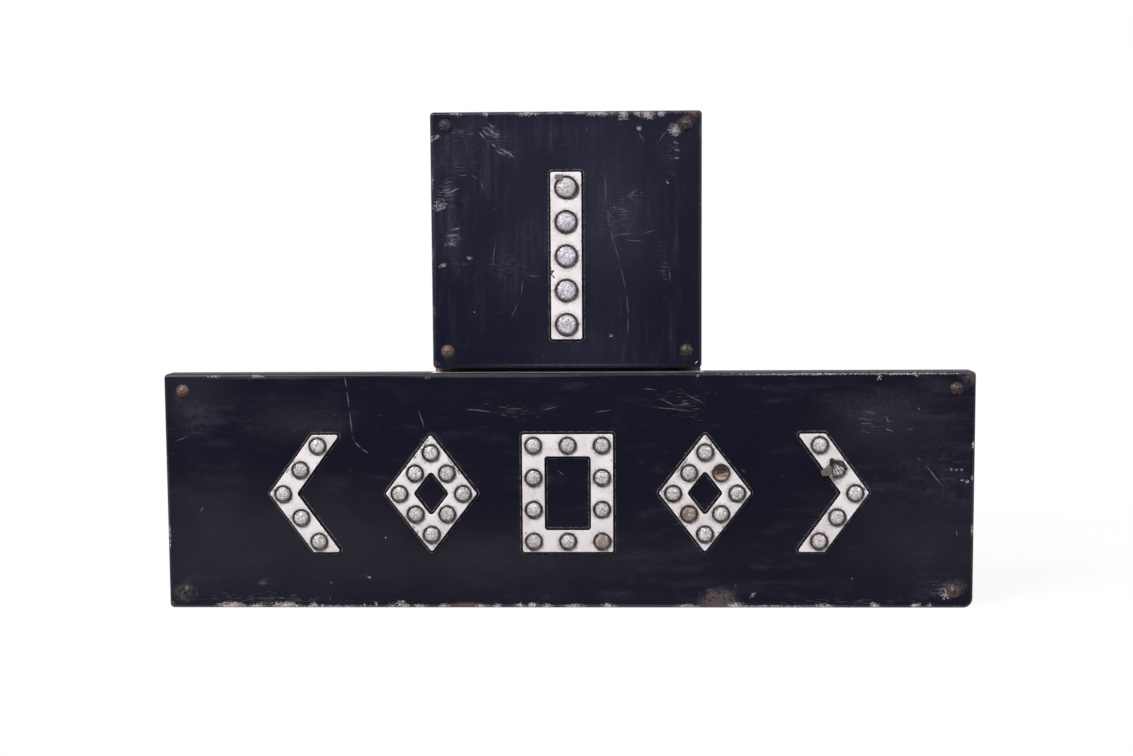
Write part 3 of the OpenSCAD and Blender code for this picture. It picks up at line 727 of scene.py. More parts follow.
def enamel(name, panel, wear, deep, faded, hazy, primer, dust_colors_with_gap_highlight, streaks):
    """Old navy enamel, scratched, rubbed and chipped down to grey primer and rust,
    with painted highlights along its bends and round its figures.
    """
    s = Material(name)
    foot = s.attribute("foot")
    torn = s.wander(0.55, 0.9)
    side = panel["w"] / 2 - s.size(s.x)
    end = panel["h"] / 2 - s.size(s.z - panel["z"])
    edge = s.math("MINIMUM", side, end)
    coarse = s.noise(0.35, 5, 0.65)
    grain = s.noise(1.3, 4, 0.62)
    crumbs = s.noise(1.6, 4, 0.7, s.place(s.mm, move=(37, 0, 11)))
    slow = s.noise(0.018, 3, 0.55)
    rag = s.ramp(coarse * 0.3 + grain * 0.7, 0.4, 0.58, 0.12, 0.95)
    # How much of each kind of wear there is; lines are worn edge paint and painted highlights along the
    # bends
    haze = rubbed(s, wear, foot, coarse, slow, streaks)
    lines = s.ramp(s.spots(wear["edges"]), 0, 0.9) * s.ramp(coarse, 0.25, 0.6, 0.3, 1)
    marks = scratched(s, wear, grain)
    chip = chipped(s, wear, torn, rag, coarse, edge)
    rusty = s.ramp(s.spots(wear["rust"], torn) - rag, -0.1, 0.16)
    stain = s.spots(wear["stains"], s.wander(0.05, 0.6))
    stain = s.ramp(stain, 0, 0.6) * s.ramp(coarse, 0.36, 0.54)
    # The crest is where the sheet bends up into the figures, a light line of worn paint and painted
    # highlight, and the rear is behind the bend
    crest_wear_and_highlight = s.ramp(s.size(foot - 1.9), 0.6, 0) * s.ramp(coarse, 0.36, 0.6)
    crest_wear_and_highlight = crest_wear_and_highlight * s.ramp(grain, 0.25, 0.5, 0.4, 1)
    rear = s.ramp(s.y, 1.2 - FACE_Y, 2.6 - FACE_Y)
    dust_and_highlight = dust_and_highlight_mask(s, panel, grain)
    # Colours, from the paint up to the dust, which is a painted highlight under the number pan
    fade = s.spots(wear["tones"]) * s.ramp(slow, 0.25, 0.6, 0.7, 1)
    color = s.mix(haze, s.blend(fade, 0, 1, deep, faded), hazy)
    brown = s.blend(crumbs, 0.42, 0.6, (0.026, 0.018, 0.021), (0.19, 0.14, 0.138))
    color = s.mix(stain * 0.8, color, brown)
    color = s.mix(lines * 0.6, color, (0.1, 0.094, 0.112))
    color = s.mix(marks, color, (0.215, 0.215, 0.255))
    color = s.mix(crest_wear_and_highlight * 0.9, color, (0.175, 0.163, 0.185))
    bare = s.blend(crumbs, 0.4, 0.6, (0.11, 0.095, 0.105), primer)
    bare = s.mix(s.ramp(coarse, 0.46, 0.62, 0, 0.6), bare, (0.4, 0.285, 0.25))
    color = s.mix(chip, color, bare)
    rust_color = s.blend(crumbs, 0.38, 0.62, (0.036, 0.019, 0.018), (0.27, 0.14, 0.1))
    color = s.mix(rusty * 0.9, color, rust_color)
    dusty = s.blend(coarse, 0.44, 0.66, (0.0095, 0.009, 0.014), (0.07, 0.052, 0.048))
    color = s.mix(rear * 0.85, color, dusty)
    # Within the number pan's width the first colour is used: on the word pan, a painted highlight in the
    # gap
    uncovered = s.ramp(s.size(s.x), NUMBER["w"] / 2, NUMBER["w"] / 2 + 4)
    color = s.mix(dust_and_highlight, color, s.mix(uncovered, *dust_colors_with_gap_highlight))
    worn = s.top(s.top(chip, rusty), s.top(marks * 0.6, stain))
    rough = 0.2 + haze * 0.14 + worn * 0.42
    rough = rough + (rear * 0.5 + s.ramp(edge, 2.8, 1.8) * 0.24)
    peel = s.bump(s.noise(0.5, 2, 0.5), 0.00004, 0.5)
    return s.surface(color, rough, s.bump(grain, 0.00002, 0.5, peel),
                     specular_ior_level=s.ramp(rear, 0, 0.6, 0.5, 0))


def shaded_wall(name):
    """The steep sides of the figures, near black: painted shade, in dull paint with little sheen."""
    s = Material(name)
    grain = s.noise(0.8, 4, 0.65)
    color = s.blend(grain, 0.45, 0.75, (0.006, 0.005, 0.007), (0.04, 0.03, 0.03))
    return s.surface(color, 0.62, s.bump(grain, 0.00004, 0.5), specular_ior_level=0.12)


WHITE_CHIPS = [
    (-12.4, 83.6, 1.3, 3.4, 1.3, 40), (-11.7, 83, 1.3, 3.2, 1.3, -35), (-12.2, 80.8, 1.1, 3.8, 1.2, 30),
    (-10.5, 78.8, 1, 2.8, 1.1, 35), (-13, 85.8, 1, 2.2, 1.2), (12.4, 121, 0.7, 1.6),
    (12.6, 100, 0.6, 1.2, 0.9), (4, 27.6, 1.6, 0.8, 0.9), (-247, -103, 1.2, 1), (-141, -84, 1.6, 1, 1, 40),
    (-93, -147, 2, 1, 1, -50), (-37, -61, 2.4, 0.7, 1, 12), (-36, -138, 1, 2), (37, -76, 0.9, 2.6),
    (26, -153, 2.4, 1), (142, -83, 1.4, 1, 1, -40), (86, -101, 1, 1.6), (212, -56, 2.2, 1, 1.1, -25),
    (206, -152, 1.8, 1, 1, 30), (246, -100, 0.9, 1.6),
]
# A band in which the white of the word marks is darker towards the bottom
LOW_DARKER_BAND = [(0, -150, 380, 42)]


def white_enamel(name):
    """The white of the figures, stained, with grime and painted shade round the bezels and small chips."""
    s = Material(name)
    grime_and_shade = s.attribute("grime_and_shade")
    coarse = s.noise(0.05, 3, 0.5)
    spread = s.noise(0.35, 4, 0.62)
    grain = s.noise(1.4, 4, 0.65)
    # Grime and painted shade: the white darkens round the bezels
    ring_grime_and_shade = s.top(grime_and_shade * s.ramp(spread, 0.36, 0.7), s.ramp(grime_and_shade, 0.72, 1) * 0.45)
    stain = s.ramp(coarse, 0.4, 0.66) * s.ramp(spread, 0.3, 0.62, 0.25, 0.6)
    # Darker towards the bottom of the word marks
    stain = stain + s.ramp(s.spots(LOW_DARKER_BAND), 0, 0.8) * 0.22
    color = s.mix(stain, (0.97, 0.915, 0.93), (0.72, 0.61, 0.6))
    color = s.mix(ring_grime_and_shade * 0.8, color, (0.235, 0.18, 0.165))
    fleck = s.ramp(s.cells(0.2), 0.15, 0.07) * s.ramp(spread, 0.55, 0.62)
    worn = s.ramp(s.attribute("rim"), 1.1, 0.1) * s.ramp(spread, 0.62, 0.67)
    rag = spread * 0.4 + grain * 0.6
    chip = s.ramp(s.spots(WHITE_CHIPS, s.wander(0.6, 0.6)) - rag, 0, 0.12)
    mark = s.top(s.top(fleck * 0.75, worn), chip)
    color = s.mix(mark, color, (0.03, 0.026, 0.03))
    return s.surface(color, 0.36 + s.top(ring_grime_and_shade, mark) * 0.35, s.bump(grain * 0.3 - mark, 0.00005, 0.6))


# Cracked glass: the lowest reflector of the bar, and the broken one of the right chevron
CRACKS = [
    (-1.6, 39.6, 6.4, 0.42, 1, -14), (3.4, 37.2, 3.6, 0.36, 0.9, -30), (227.6, -85.4, 3, 0.4, 0.9, 14),
    (225.6, -82.2, 3.6, 0.4, 0.9, 66),
]


def glass(name, shade, light):
    """Prismatic reflector: a faceted base under a smooth clear coat."""
    s = Material(name)
    tone = s.attribute("tone")
    rust = s.attribute("rust")
    radius = s.attribute("radius")
    facet = s.cells(0.85, s.place(s.mm, turn=31, axis=1), "Color")
    cell = s.value("SeparateColor", {0: facet})
    fine = s.noise(1.7, 3, 0.7)
    cloud = s.noise(0.3, 3, 0.5)
    zigzag = s.math("PINGPONG", s.x, 1.7)
    waves = s.value("Math", {0: (s.z + zigzag) * 4.4}, operation="SINE")
    level = cell * 0.4 + fine * 0.44 + (cloud * 0.16 + waves * 0.07)
    level = 0.49 + (level - 0.49) * s.ramp(tone, 0, 1, 0.55, 1.15) + (tone - 0.5) * 0.08
    color = s.blend(level, 0.35, 0.61, shade, light)
    flecks = s.ramp(radius, 0.66, 0.98) * s.ramp(fine, 0.4, 0.56)
    color = s.mix(flecks * 0.85, color, (0.07, 0.058, 0.058))
    color = s.mix(s.ramp(radius, 0.6, 1) * 0.25, color, (0.2, 0.18, 0.185))
    tan = s.blend(fine, 0.35, 0.65, (0.33, 0.25, 0.215), (0.7, 0.6, 0.55))
    color = s.mix(s.ramp(rust, 0, 0.5, 0, 0.75), color, tan)
    brown = s.blend(fine, 0.38, 0.62, (0.085, 0.045, 0.03), (0.42, 0.29, 0.21))
    color = s.mix(s.ramp(rust, 0.5, 1) * s.ramp(cloud, 0.3, 0.56), color, brown)
    crack = s.spots(CRACKS, s.wander(0.25, 0.4))
    color = s.mix(s.ramp(crack, 0.1, 0.6, 0, 0.8), color, (0.095, 0.08, 0.08))
    plain = s.node("NewGeometry").outputs["Normal"]
    normal = s.vector("NORMALIZE", s.vector("ADD", plain, s.centred(facet, 0.45)))
    return s.surface(color, 0.24, normal, coat_weight=1, coat_roughness=0.05, specular_ior_level=0.8)


# Painted shade on the joining plate in the gap between the pans fades out between these heights, widths and
# depths
GAP_SHADE_Z = (7, 5)
GAP_SHADE_X = (104, 92)
GAP_SHADE_Y = (-1.5, -3)


def tarnish(name, dark, light, metallic, rough, rust=None, scale=1, rust_level=0.55, gap_shaded=False):
    """Aged metal or paint. The patches of rust go from its first colour to its second."""
    s = Material(name)
    coarse = s.noise(0.1 * scale, 5, 0.65)
    grain = s.noise(0.9 * scale, 5, 0.7)
    slow = s.noise(0.015, 4, 0.6)
    color = s.blend(grain, 0.35, 0.68, dark, light)
    color = s.mix(s.ramp(slow, 0.44, 0.6, 0, 0.7), color, dark)
    normal = s.bump(grain, 0.00008, 0.7)
    if not rust:
        return s.surface(color, rough - 0.08 + grain * 0.16, normal, metallic=metallic)
    mixed = coarse * 0.6 + (grain * 0.2 + slow * 0.2)
    patch = s.ramp(mixed, rust_level, rust_level + 0.12)
    color = s.mix(patch, color, s.blend(grain, 0.4, 0.6, *rust))
    # Painted shade: the plate darkens in the middle of the gap between the pans
    if gap_shaded:
        gap_shade = s.ramp(s.size(s.z), *GAP_SHADE_Z) * s.ramp(s.size(s.x), *GAP_SHADE_X) * s.ramp(s.y, *GAP_SHADE_Y)
        color = s.mix(gap_shade * 0.86, color, (0.005, 0.004, 0.005))
    return s.surface(color, rough + patch * 0.25, normal,
                     metallic=s.ramp(patch, 0, 1, metallic, 0))


def bolt_paint(name):
    """Painted heads, rubbed and rusted; the attribute tint goes from navy to brown."""
    s = Material(name)
    coarse = s.noise(0.3, 3, 0.6)
    grain = s.noise(1, 4, 0.68)
    navy = s.blend(grain, 0.4, 0.7, (0.013, 0.011, 0.017), (0.058, 0.05, 0.058))
    brown = s.blend(grain, 0.36, 0.66, (0.062, 0.034, 0.031), (0.245, 0.152, 0.124))
    color = s.mix(s.ramp(coarse * 0.8 + s.attribute("tint"), 0.55, 0.95), navy, brown)
    color = s.mix(s.ramp(grain, 0.58, 0.66) * 0.75, color, (0.41, 0.37, 0.365))
    return s.surface(color, 0.34 + grain * 0.3, s.bump(grain, 0.00012, 0.8), metallic=0.25)


NAVY_NUMBER = enamel("number_enamel", NUMBER, NUMBER_WEAR, (0.006, 0.0052, 0.019),
                     (0.015, 0.0136, 0.031), (0.0285, 0.027, 0.048), (0.52, 0.505, 0.55),
                     ((0.034, 0.031, 0.036), (0.034, 0.031, 0.036)), (0.2, 0.2, 0.022))
NAVY_WORD = enamel("word_enamel", WORD, WORD_WEAR, (0.0048, 0.0043, 0.014),
                   (0.02, 0.0182, 0.027), (0.024, 0.0227, 0.0395), (0.88, 0.79, 0.78),
                   ((0.96, 0.89, 0.9), (0.165, 0.14, 0.16)), (0.03, 0.1, 0.12))
WALL_BLACK = shaded_wall("figure_wall")
WHITE = white_enamel("figure_white")
BAR_GLASS = glass("bar_glass", (0.375, 0.34, 0.4), (0.97, 0.94, 1))
WORD_GLASS = glass("word_glass", (0.34, 0.3, 0.305), (0.98, 0.94, 0.945))
BEZEL = tarnish("bezel_metal", (0.02, 0.016, 0.017), (0.165, 0.135, 0.132), 0.5, 0.38,
                ((0.055, 0.034, 0.028), (0.17, 0.115, 0.095)), 1.8, 0.58)
BACKING = tarnish("tan_backing", (0.19, 0.125, 0.085), (0.72, 0.56, 0.43), 0, 0.62,
                  ((0.06, 0.034, 0.025), (0.26, 0.17, 0.12)), 1.6, 0.5)
TORN = tarnish("torn_metal", (0.105, 0.085, 0.078), (0.4, 0.37, 0.36), 0.4, 0.45,
               ((0.07, 0.042, 0.032), (0.23, 0.16, 0.125)), 2, 0.52)
BOLT = bolt_paint("bolt_paint")
PLATE = tarnish("rusty_plate", (0.12, 0.086, 0.078), (0.37, 0.275, 0.24), 0.3, 0.5,
                ((0.1, 0.05, 0.036), (0.34, 0.19, 0.125)), 0.3, 0.49, True)
COVER = tarnish("back_cover_paint", (0.01, 0.01, 0.015), (0.044, 0.042, 0.048), 0, 0.42,
                ((0.07, 0.038, 0.028), (0.2, 0.11, 0.075)), 0.25, 0.56)
HARDWARE = tarnish("rusty_hardware", (0.095, 0.07, 0.06), (0.25, 0.19, 0.165), 0.5, 0.45,
                   ((0.11, 0.055, 0.033), (0.25, 0.14, 0.085)), 1, 0.5)
STEEL = tarnish("dull_steel", (0.21, 0.205, 0.205), (0.36, 0.355, 0.36), 0.85, 0.4)
CUP = tarnish("bright_cup", (0.42, 0.41, 0.42), (0.6, 0.595, 0.61), 0.9, 0.32)


# Pressed pans

# Sections as (offset outward, height); the second list has a material for each span
WALL = [(-1.0, PRESS_H), (-0.45, PRESS_H - 0.03), (-0.1, PRESS_H - 0.2), (0.15, PRESS_H - 0.6),
        (0.4, 1.15), (0.7, 0.6), (1.05, 0.26), (1.45, 0.07), (1.95, 0.0), (2.5, 0.0)]
WALL_SLOTS = [0, 1, 1, 1, 1, 1, 1, 0, 0]
BOLT_HOLE = 3.6
FOOT_REACH = 7.0


def bend_section():
    section = [(-BEND_R - 1.0, 0.0), (-BEND_R, 0.0)]
    for k in range(1, 7):
        a = math.pi / 12 * k
        section.append((-BEND_R * (1 - math.sin(a)), -BEND_R * (1 - math.cos(a))))
    rear = -PAN_DEPTH
    return section + [(0.0, rear * 0.4), (0.0, rear * 0.7), (0.0, rear + 0.35), (-0.1, rear + 0.1),
                      (-0.35, rear)]


def pan(name, node, panel, shapes, bolts, material):
    """A pressed sheet with its figures, its bent edge and holes for reflectors and bolts."""
    b = Builder()
    corners = rectangle(panel["w"], panel["h"], 0, panel["z"])
    radii = [panel["radii"][k] for k in (3, 0, 1, 2)]
    section = bend_section()
    b.loft([at(outline(corners, d, radii), h) for d, h in section])
    face = [outline(corners, section[0][0], radii)]
    feet = []
    for shape in shapes:
        figure_walls(b, shape, WALL, slots=WALL_SLOTS)
        face += figure_loops(shape, WALL[-1][0])
        feet += figure_loops(shape, 0)
        holes = [circle(x, z, shape["size"]["hole"]) for x, z in shape["points"]]
        b.fill(figure_loops(shape, WALL[0][0]) + holes, PRESS_H, 4.0)
    face += [circle(x, z, BOLT_HOLE, 24) for x, z in bolts]
    b.fill(face, 0.0, 4.0)
    obj = b.build(name, [material, WALL_BLACK], warp)
    flat = flat_points(obj)
    store(obj, "foot", np.minimum(distance_to(flat, feet), FOOT_REACH))
    solid = obj.modifiers.new("sheet", "SOLIDIFY")
    solid.thickness = SHEET_T / 1000
    solid.offset = -1
    return weighted(dress(obj, [node]))


pan("number_pan_pressed", "number_front_pan", NUMBER, [FIGURES["bar"]],
    BOLT_SETS["number_corner_bolts"], NAVY_NUMBER)
pan("word_pan_pressed", "word_front_pan", WORD, [FIGURES[mark] for mark in WORD_MARKS],
    BOLT_SETS["word_corner_bolts"], NAVY_WORD)


# White tops of the figures

EDGE = [(-0.95, FACING_H), (-0.55, FACING_H - 0.01), (-0.3, FACING_H - 0.08), (-0.15, FACING_H - 0.22),
        (-0.12, FACING_H - 0.34), (-0.2, PRESS_H + 0.01)]
EDGE_STEP = 1.5
HOLE_GAP = 0.05


def facing(name, shape):
    """The white layer on a figure, in a mesh fine enough for its grime and painted shade."""
    b = Builder()
    figure_walls(b, shape, EDGE, EDGE_STEP)
    hole_r = shape["size"]["hole"] + HOLE_GAP
    holes = [circle(x, z, hole_r)[::-1] for x, z in shape["points"]]
    b.fill(figure_loops(shape, EDGE[0][0], EDGE_STEP) + holes, FACING_H, 1.3)
    b.fill(figure_loops(shape, EDGE[-1][0], EDGE_STEP) + holes, EDGE[-1][1], 5.0, front=False)
    for loop in holes:
        b.loft([at(loop, FACING_H), at(loop, EDGE[-1][1])])
    obj = b.build(name + "_white", [WHITE], warp)
    flat = flat_points(obj)
    store(obj, "rim", distance_to(flat, figure_loops(shape, 0)))
    # Grime and painted shade lie round the bezels, and a little more below them
    gap = np.min([np.hypot(flat[:, 0] - x, flat[:, 1] - z + 0.5) for x, z in shape["points"]], 0)
    store(obj, "grime_and_shade", np.clip(1 - (gap - shape["size"]["grime"]) / 3.4, 0, 1))
    weighted(dress(obj, [name + "_facing"]))


for name, shape in FIGURES.items():
    facing(name, shape)


# Reflectors: bezels and glass

def ring_profile(outer, inner):
    """Section of a bezel from its inner lip over the bead to the skirt and back."""
    top = FACING_H + 1.8
    return [(inner, top - 0.95), (inner + 0.1, top - 0.55), (inner + 0.38, top - 0.16),
            (inner + 0.75, top), (outer - 0.62, top - 0.08), (outer - 0.28, top - 0.34),
            (outer - 0.08, top - 0.75), (outer, top - 1.25), (outer, FACING_H + 0.02),
            (outer - 0.1, FACING_H - 0.04), (inner + 0.62, FACING_H - 0.06), (inner + 0.62, -5.6),
            (inner + 0.25, -5.6), (inner + 0.25, top - 1.0)]


def revolve(b, section, x, z, lift, count=40, tilt=(0, 0), wobble=0, seed=0, ring=False):
    """A section of (radius, height) turned about (x, z): closed for a ring, or else capped."""
    loops = []
    a = 2 * math.pi * np.arange(count) / count
    for r, h in section:
        loop = circle(0, 0, r, count)
        if wobble:
            grow = [noise.noise(Vector((math.cos(t) * 1.6, math.sin(t) * 1.6, seed))) for t in a]
            loop = loop * (1 + wobble * np.array(grow) / r)[:, None]
        loops.append(np.column_stack([loop + (x, z), h + lift + loop @ np.array(tilt)]))
    b.loft(loops, ring)
    if not ring:
        b.cap(loops[0])
        b.cap(loops[-1], False)


def dome(r, rim_h, height, rings=9):
    """Section of a domed disc from its middle to its rim and down its side."""
    big = (r * r + height * height) / (2 * height)
    out = []
    for k in range(rings + 1):
        q = r * max(k / rings, 0.02)
        out.append((q, rim_h + height - big + math.sqrt(big * big - q * q)))
    return out + [(r, rim_h - 1.2)]


def sheet(b, points, thickness):
    """A thin torn strip: points along it as (x, z, h, half width), running up the strip."""
    mids = np.array([p[:3] for p in points])
    half = np.array([p[3] for p in points])[:, None]
    along = np.gradient(mids, axis=0)[:, :2]
    along /= np.linalg.norm(along, axis=1)[:, None]
    across = np.column_stack([along[:, 1], -along[:, 0], np.zeros(len(along))]) * half
    down = np.array([0, 0, thickness])
    rings = [mids + across, mids - across, mids - across - down, mids + across - down]
    n = len(mids)
    faces = []
    for k in range(4):
        a, c = k * n, (k + 1) % 4 * n
        faces += [[a + i, a + i + 1, c + i + 1, c + i] for i in range(n - 1)]
    faces += [[0, n, 2 * n, 3 * n], [4 * n - 1, 3 * n - 1, 2 * n - 1, n - 1]]
    b.add(np.concatenate(rings), faces)


# Torn metal, debris, and a painted shadow in a lost glass's cup

TORN_T = 0.35
LOST_GLASS_SHEET_T = 0.3
LIP_T = 0.75


def about(x, z, r, degrees):
    """A place at radius r from (x, z)."""
    a = math.radians(degrees)
    return x + r * math.cos(a), z + r * math.sin(a)


def lost_glass_debris_and_shadow(rims, x, z):
    """What hangs before a lost glass: a dark crescent sheet, a painted shadow at the top of its cup, and
    three strips.
    """
    shadow_crescent = []
    for i in range(9):
        half = 0.2 + 1.3 * math.sin(math.pi * i / 8)
        shadow_crescent.append((*about(x, z, 4.9, 18 + 18 * i), FACING_H + 0.9, half))
    sheet(rims, shadow_crescent, LOST_GLASS_SHEET_T)
    bends = [(-3.4, -0.8), (-1.2, 1.6), (0.4, -0.4), (3.2, 1.2)]
    for start, end in zip(bends, bends[1:]):
        ends = (start, ((start[0] + end[0]) / 2, (start[1] + end[1]) / 2), end)
        sheet(rims, [(x + u, z + v, FACING_H + 1.4, 0.75) for u, v in ends], LOST_GLASS_SHEET_T)


def tab(scraps, x, z, places):
    """A bent tab through places (across, up, height above the facing, half width)."""
    sheet(scraps, [(x + u, z + v, FACING_H + h, half) for u, v, h, half in places], TORN_T)


def fan(rims, x, z):
    """Six strips that spread downward from one point at the upper left of a bezel."""
    left, up = -6.0, 9.2
    strips = [(8.2, 0.4, 1.1), (5.8, -2.6, 0.34), (2.6, -4.8, 0.34), (-0.8, -5.4, 0.34),
              (-4.0, -4.6, 0.4), (-7.0, -1.0, 0.8)]
    for u, v, half in strips:
        ray = []
        for share in (0.0, 0.35, 0.7, 1.0):
            place = (x + left + (u - left) * share, z + up + (v - up) * share)
            ray.append((*place, FACING_H + 3.4 - 1.2 * share, half * (1.1 - 0.4 * share)))
        sheet(rims, ray, TORN_T)


def curls(scraps, x, z, view):
    """Two strips of a bezel, peeled outward on its left."""
    for start, reach, rise in ((150, 9.6, 2.4), (215, 9.2, 2.0)):
        curl = []
        for i in range(7):
            r = view + (reach - view) * math.sin(math.pi * (i + 0.6) / 7)
            height = FACING_H + 1.6 + rise * math.sin(math.pi * (i + 1) / 8)
            curl.append((*about(x, z, r, start + 11 * i), height, 1.3 - 0.16 * i))
        sheet(scraps, curl, TORN_T)


def lip(scraps, x, z, outer):
    """The lifted lower right edge of a bezel."""
    points = []
    for i in range(11):
        r = outer + 1.25 * math.sin(math.pi * (i + 0.5) / 11)
        points.append((*about(x, z, r, -78 + 10 * i), FACING_H + 0.8, 0.3))
    sheet(scraps, points, LIP_T)


GLASS_SIDES = 40
# Reflectors by figure and number, counted from the lowest: stained ones with their depth
MISSING = ("right_diamond", 6)
BROKEN = ("right_chevron", 3)
BENT = ("bar", 4)
STAINED = {("bar", 4): 0.24, ("right_diamond", 1): 0.95, ("square", 2): 0.85, ("square", 0): 0.2,
           ("left_diamond", 3): 0.16, ("right_chevron", 0): 0.2, ("right_chevron", 1): 0.14,
           ("square", 8): 0.15, ("right_chevron", 3): 0.1}
BROKEN_TAB = [(-4, -1.4, 2.1, 3.2), (-7.2, -1, 3.1, 3.6), (-10.6, -2.2, 3.3, 3.3), (-13.8, -3.6, 2.6, 2)]
BENT_TAB = [(-2.4, 7.8, 1.9, 2.6), (-5, 8, 2.3, 2.6), (-7.6, 8.4, 2.5, 2.3), (-9, 8.6, 2.5, 1.8)]


def reflectors(name, shape):
    """The bezels and glasses of a figure, and what is torn or missing there."""
    outer, view = shape["size"]["outer"], shape["size"]["view"]
    lens_section = dome(view + 0.05, FACING_H + 0.75, 1.35)
    cup_section = [(0.1, -1.6), (view * 0.26, -1.5), (view * 0.3, 0.3), (view * 0.56, 0.2),
                   (view * 0.62, 1.2), (view * 0.9, 1.5), (view + 0.2, 2.9), (view + 0.2, -0.2)]
    rims, lenses, backs, scraps = Builder(), Builder(), Builder(), Builder()
    tones, stains, radii = [], [], []
    for k, (x, z) in enumerate(shape["points"]):
        lift = warp_at(x, z)
        tilt = (random.uniform(-0.03, 0.03), random.uniform(-0.03, 0.03))
        seed = random.uniform(0, 50)
        tone = random.random()
        wobble = 0.9 if (name, k) == BROKEN else 0.3
        revolve(rims, ring_profile(outer, view), x, z, lift, 44, tilt, wobble, seed, ring=True)
        if (name, k) == MISSING:
            revolve(backs, cup_section, x, z, lift, GLASS_SIDES, tilt, 0.1, seed)
            lost_glass_debris_and_shadow(rims, x, z)
            continue
        if (name, k) == BROKEN:
            tab(scraps, x, z, BROKEN_TAB)
            fan(rims, x, z)
            curls(scraps, x, z, view)
        if (name, k) == BENT:
            tab(scraps, x, z, BENT_TAB)
            lip(scraps, x, z, outer)
        revolve(lenses, lens_section, x, z, lift, GLASS_SIDES, tilt)
        # loft() adds each pair of loops on its own, and the caps come last
        last = len(lens_section) - 1
        order = [i for s in range(last) for i in (s, s + 1)] + [0, last]
        for i in order:
            radii += [lens_section[i][0] / view] * GLASS_SIDES
        tones += [tone] * len(order) * GLASS_SIDES
        stains += [STAINED.get((name, k), 0.0)] * len(order) * GLASS_SIDES
    rim = rims.build(name + "_rims", [BEZEL])
    weighted(dress(rim, [name + "_bezels"]))
    lens = lenses.build(name + "_glass", [BAR_GLASS if name == "bar" else WORD_GLASS], weld=0)
    store(lens, "tone", tones)
    store(lens, "rust", stains)
    store(lens, "radius", radii)
    join(lens.data, WELD)
    dress(lens, [name + "_lenses"])
    if backs.count:
        dress(backs.build(name + "_backing", [BACKING]), [])
    if scraps.count:
        dress(scraps.build(name + "_torn_metal", [TORN], smooth=False), [])


for name, shape in FIGURES.items():
    reflectors(name, shape)


# Bolts with domed, slotted heads and threaded ends

HEAD_R = 5.8
HEAD_H = 3.8
HEAD_BASE = 0.35
SHANK_R = 3.17
PLAIN_SHANK = 2.0
THREAD_D = 0.5
PITCH = 1.27
SLOT_W = 1.3
SLOT_D = 1.0
# How far each bolt is turned, and how brown it is, in the order of centres()
TURNS = (35, 80, 140, 10)
TINTS = {"number_corner_bolts": (0.52, 0.26, 0.06, 0.24), "word_corner_bolts": (0.1, 0.36, 0.46, 0.3),
         "joining_bolts": (0.4, 0.3, 0.2, 0.5)}


def bolt_mesh(length):
    """One bolt along h, its head on h = 0, as (points, faces) in (x, z, h)."""
    section = dome(HEAD_R, HEAD_BASE, HEAD_H - HEAD_BASE, 8)[:-1]
    section += [(HEAD_R, 0.12), (HEAD_R - 0.12, 0.0), (SHANK_R, 0.0), (SHANK_R, -PLAIN_SHANK)]
    h = -PLAIN_SHANK
    while h > -length + PITCH:
        section += [(SHANK_R - THREAD_D, h - PITCH / 2), (SHANK_R, h - PITCH)]
        h -= PITCH
    section.append((SHANK_R - 0.7, -length))
    b = Builder()
    revolve(b, section, 0, 0, 0, 48)
    body = b.build("bolt_body", [BOLT])
    cutter = Builder()
    slot = np.array(rectangle(2.6 * HEAD_R, SLOT_W, 0, 0))
    cutter.loft([at(slot, HEAD_H + 1), at(slot, HEAD_H - SLOT_D)])
    cutter.cap(at(slot, HEAD_H + 1))
    cutter.cap(at(slot, HEAD_H - SLOT_D), False)
    knife = cutter.build("bolt_knife", [BOLT], smooth=False)
    cut = body.modifiers.new("slot", "BOOLEAN")
    cut.object = knife
    cut.operation = "DIFFERENCE"
    cut.solver = "EXACT"
    evaluated = body.evaluated_get(bpy.context.evaluated_depsgraph_get())
    mesh = bpy.data.meshes.new_from_object(evaluated)
    pts = np.array([tuple(v.co) for v in mesh.vertices]) * 1000
    faces = [list(p.vertices) for p in mesh.polygons]
    bpy.data.objects.remove(body)
    bpy.data.objects.remove(knife)
    bpy.data.meshes.remove(mesh)
    return np.stack([pts[:, 0], pts[:, 2], -pts[:, 1] - FACE_Y], 1), faces


def bolts(name, node, front):
    """Bolts of one CAD node, their heads on the face, or on the rear of the pans."""
    seat = 0.0 if front else -PAN_DEPTH
    pts, faces = bolt_mesh(mm_box(node)[1][1] + FACE_Y + seat)
    b = Builder()
    tints = []
    for (x, z), turn, tint in zip(BOLT_SETS[node], TURNS, TINTS[node]):
        spin = np.array(Matrix.Rotation(math.radians(turn), 3, "Z"))
        lift = seat + (warp_at(x, z) if front else 0.0)
        b.add(pts @ spin.T + (x, z, lift), faces)
        tints += [tint] * len(pts)
    obj = b.build(name, [BOLT], weld=0)
    store(obj, "tint", tints)
    obj.data.set_sharp_from_angle(angle=math.radians(35))
    return weighted(dress(obj, [node]))


bolts("number_bolts", "number_corner_bolts", True)
bolts("word_bolts", "word_corner_bolts", True)
bolts("rear_bolts", "joining_bolts", False)


# CAD nodes that stay, with worn materials and broken edges: material, bevel, nodes

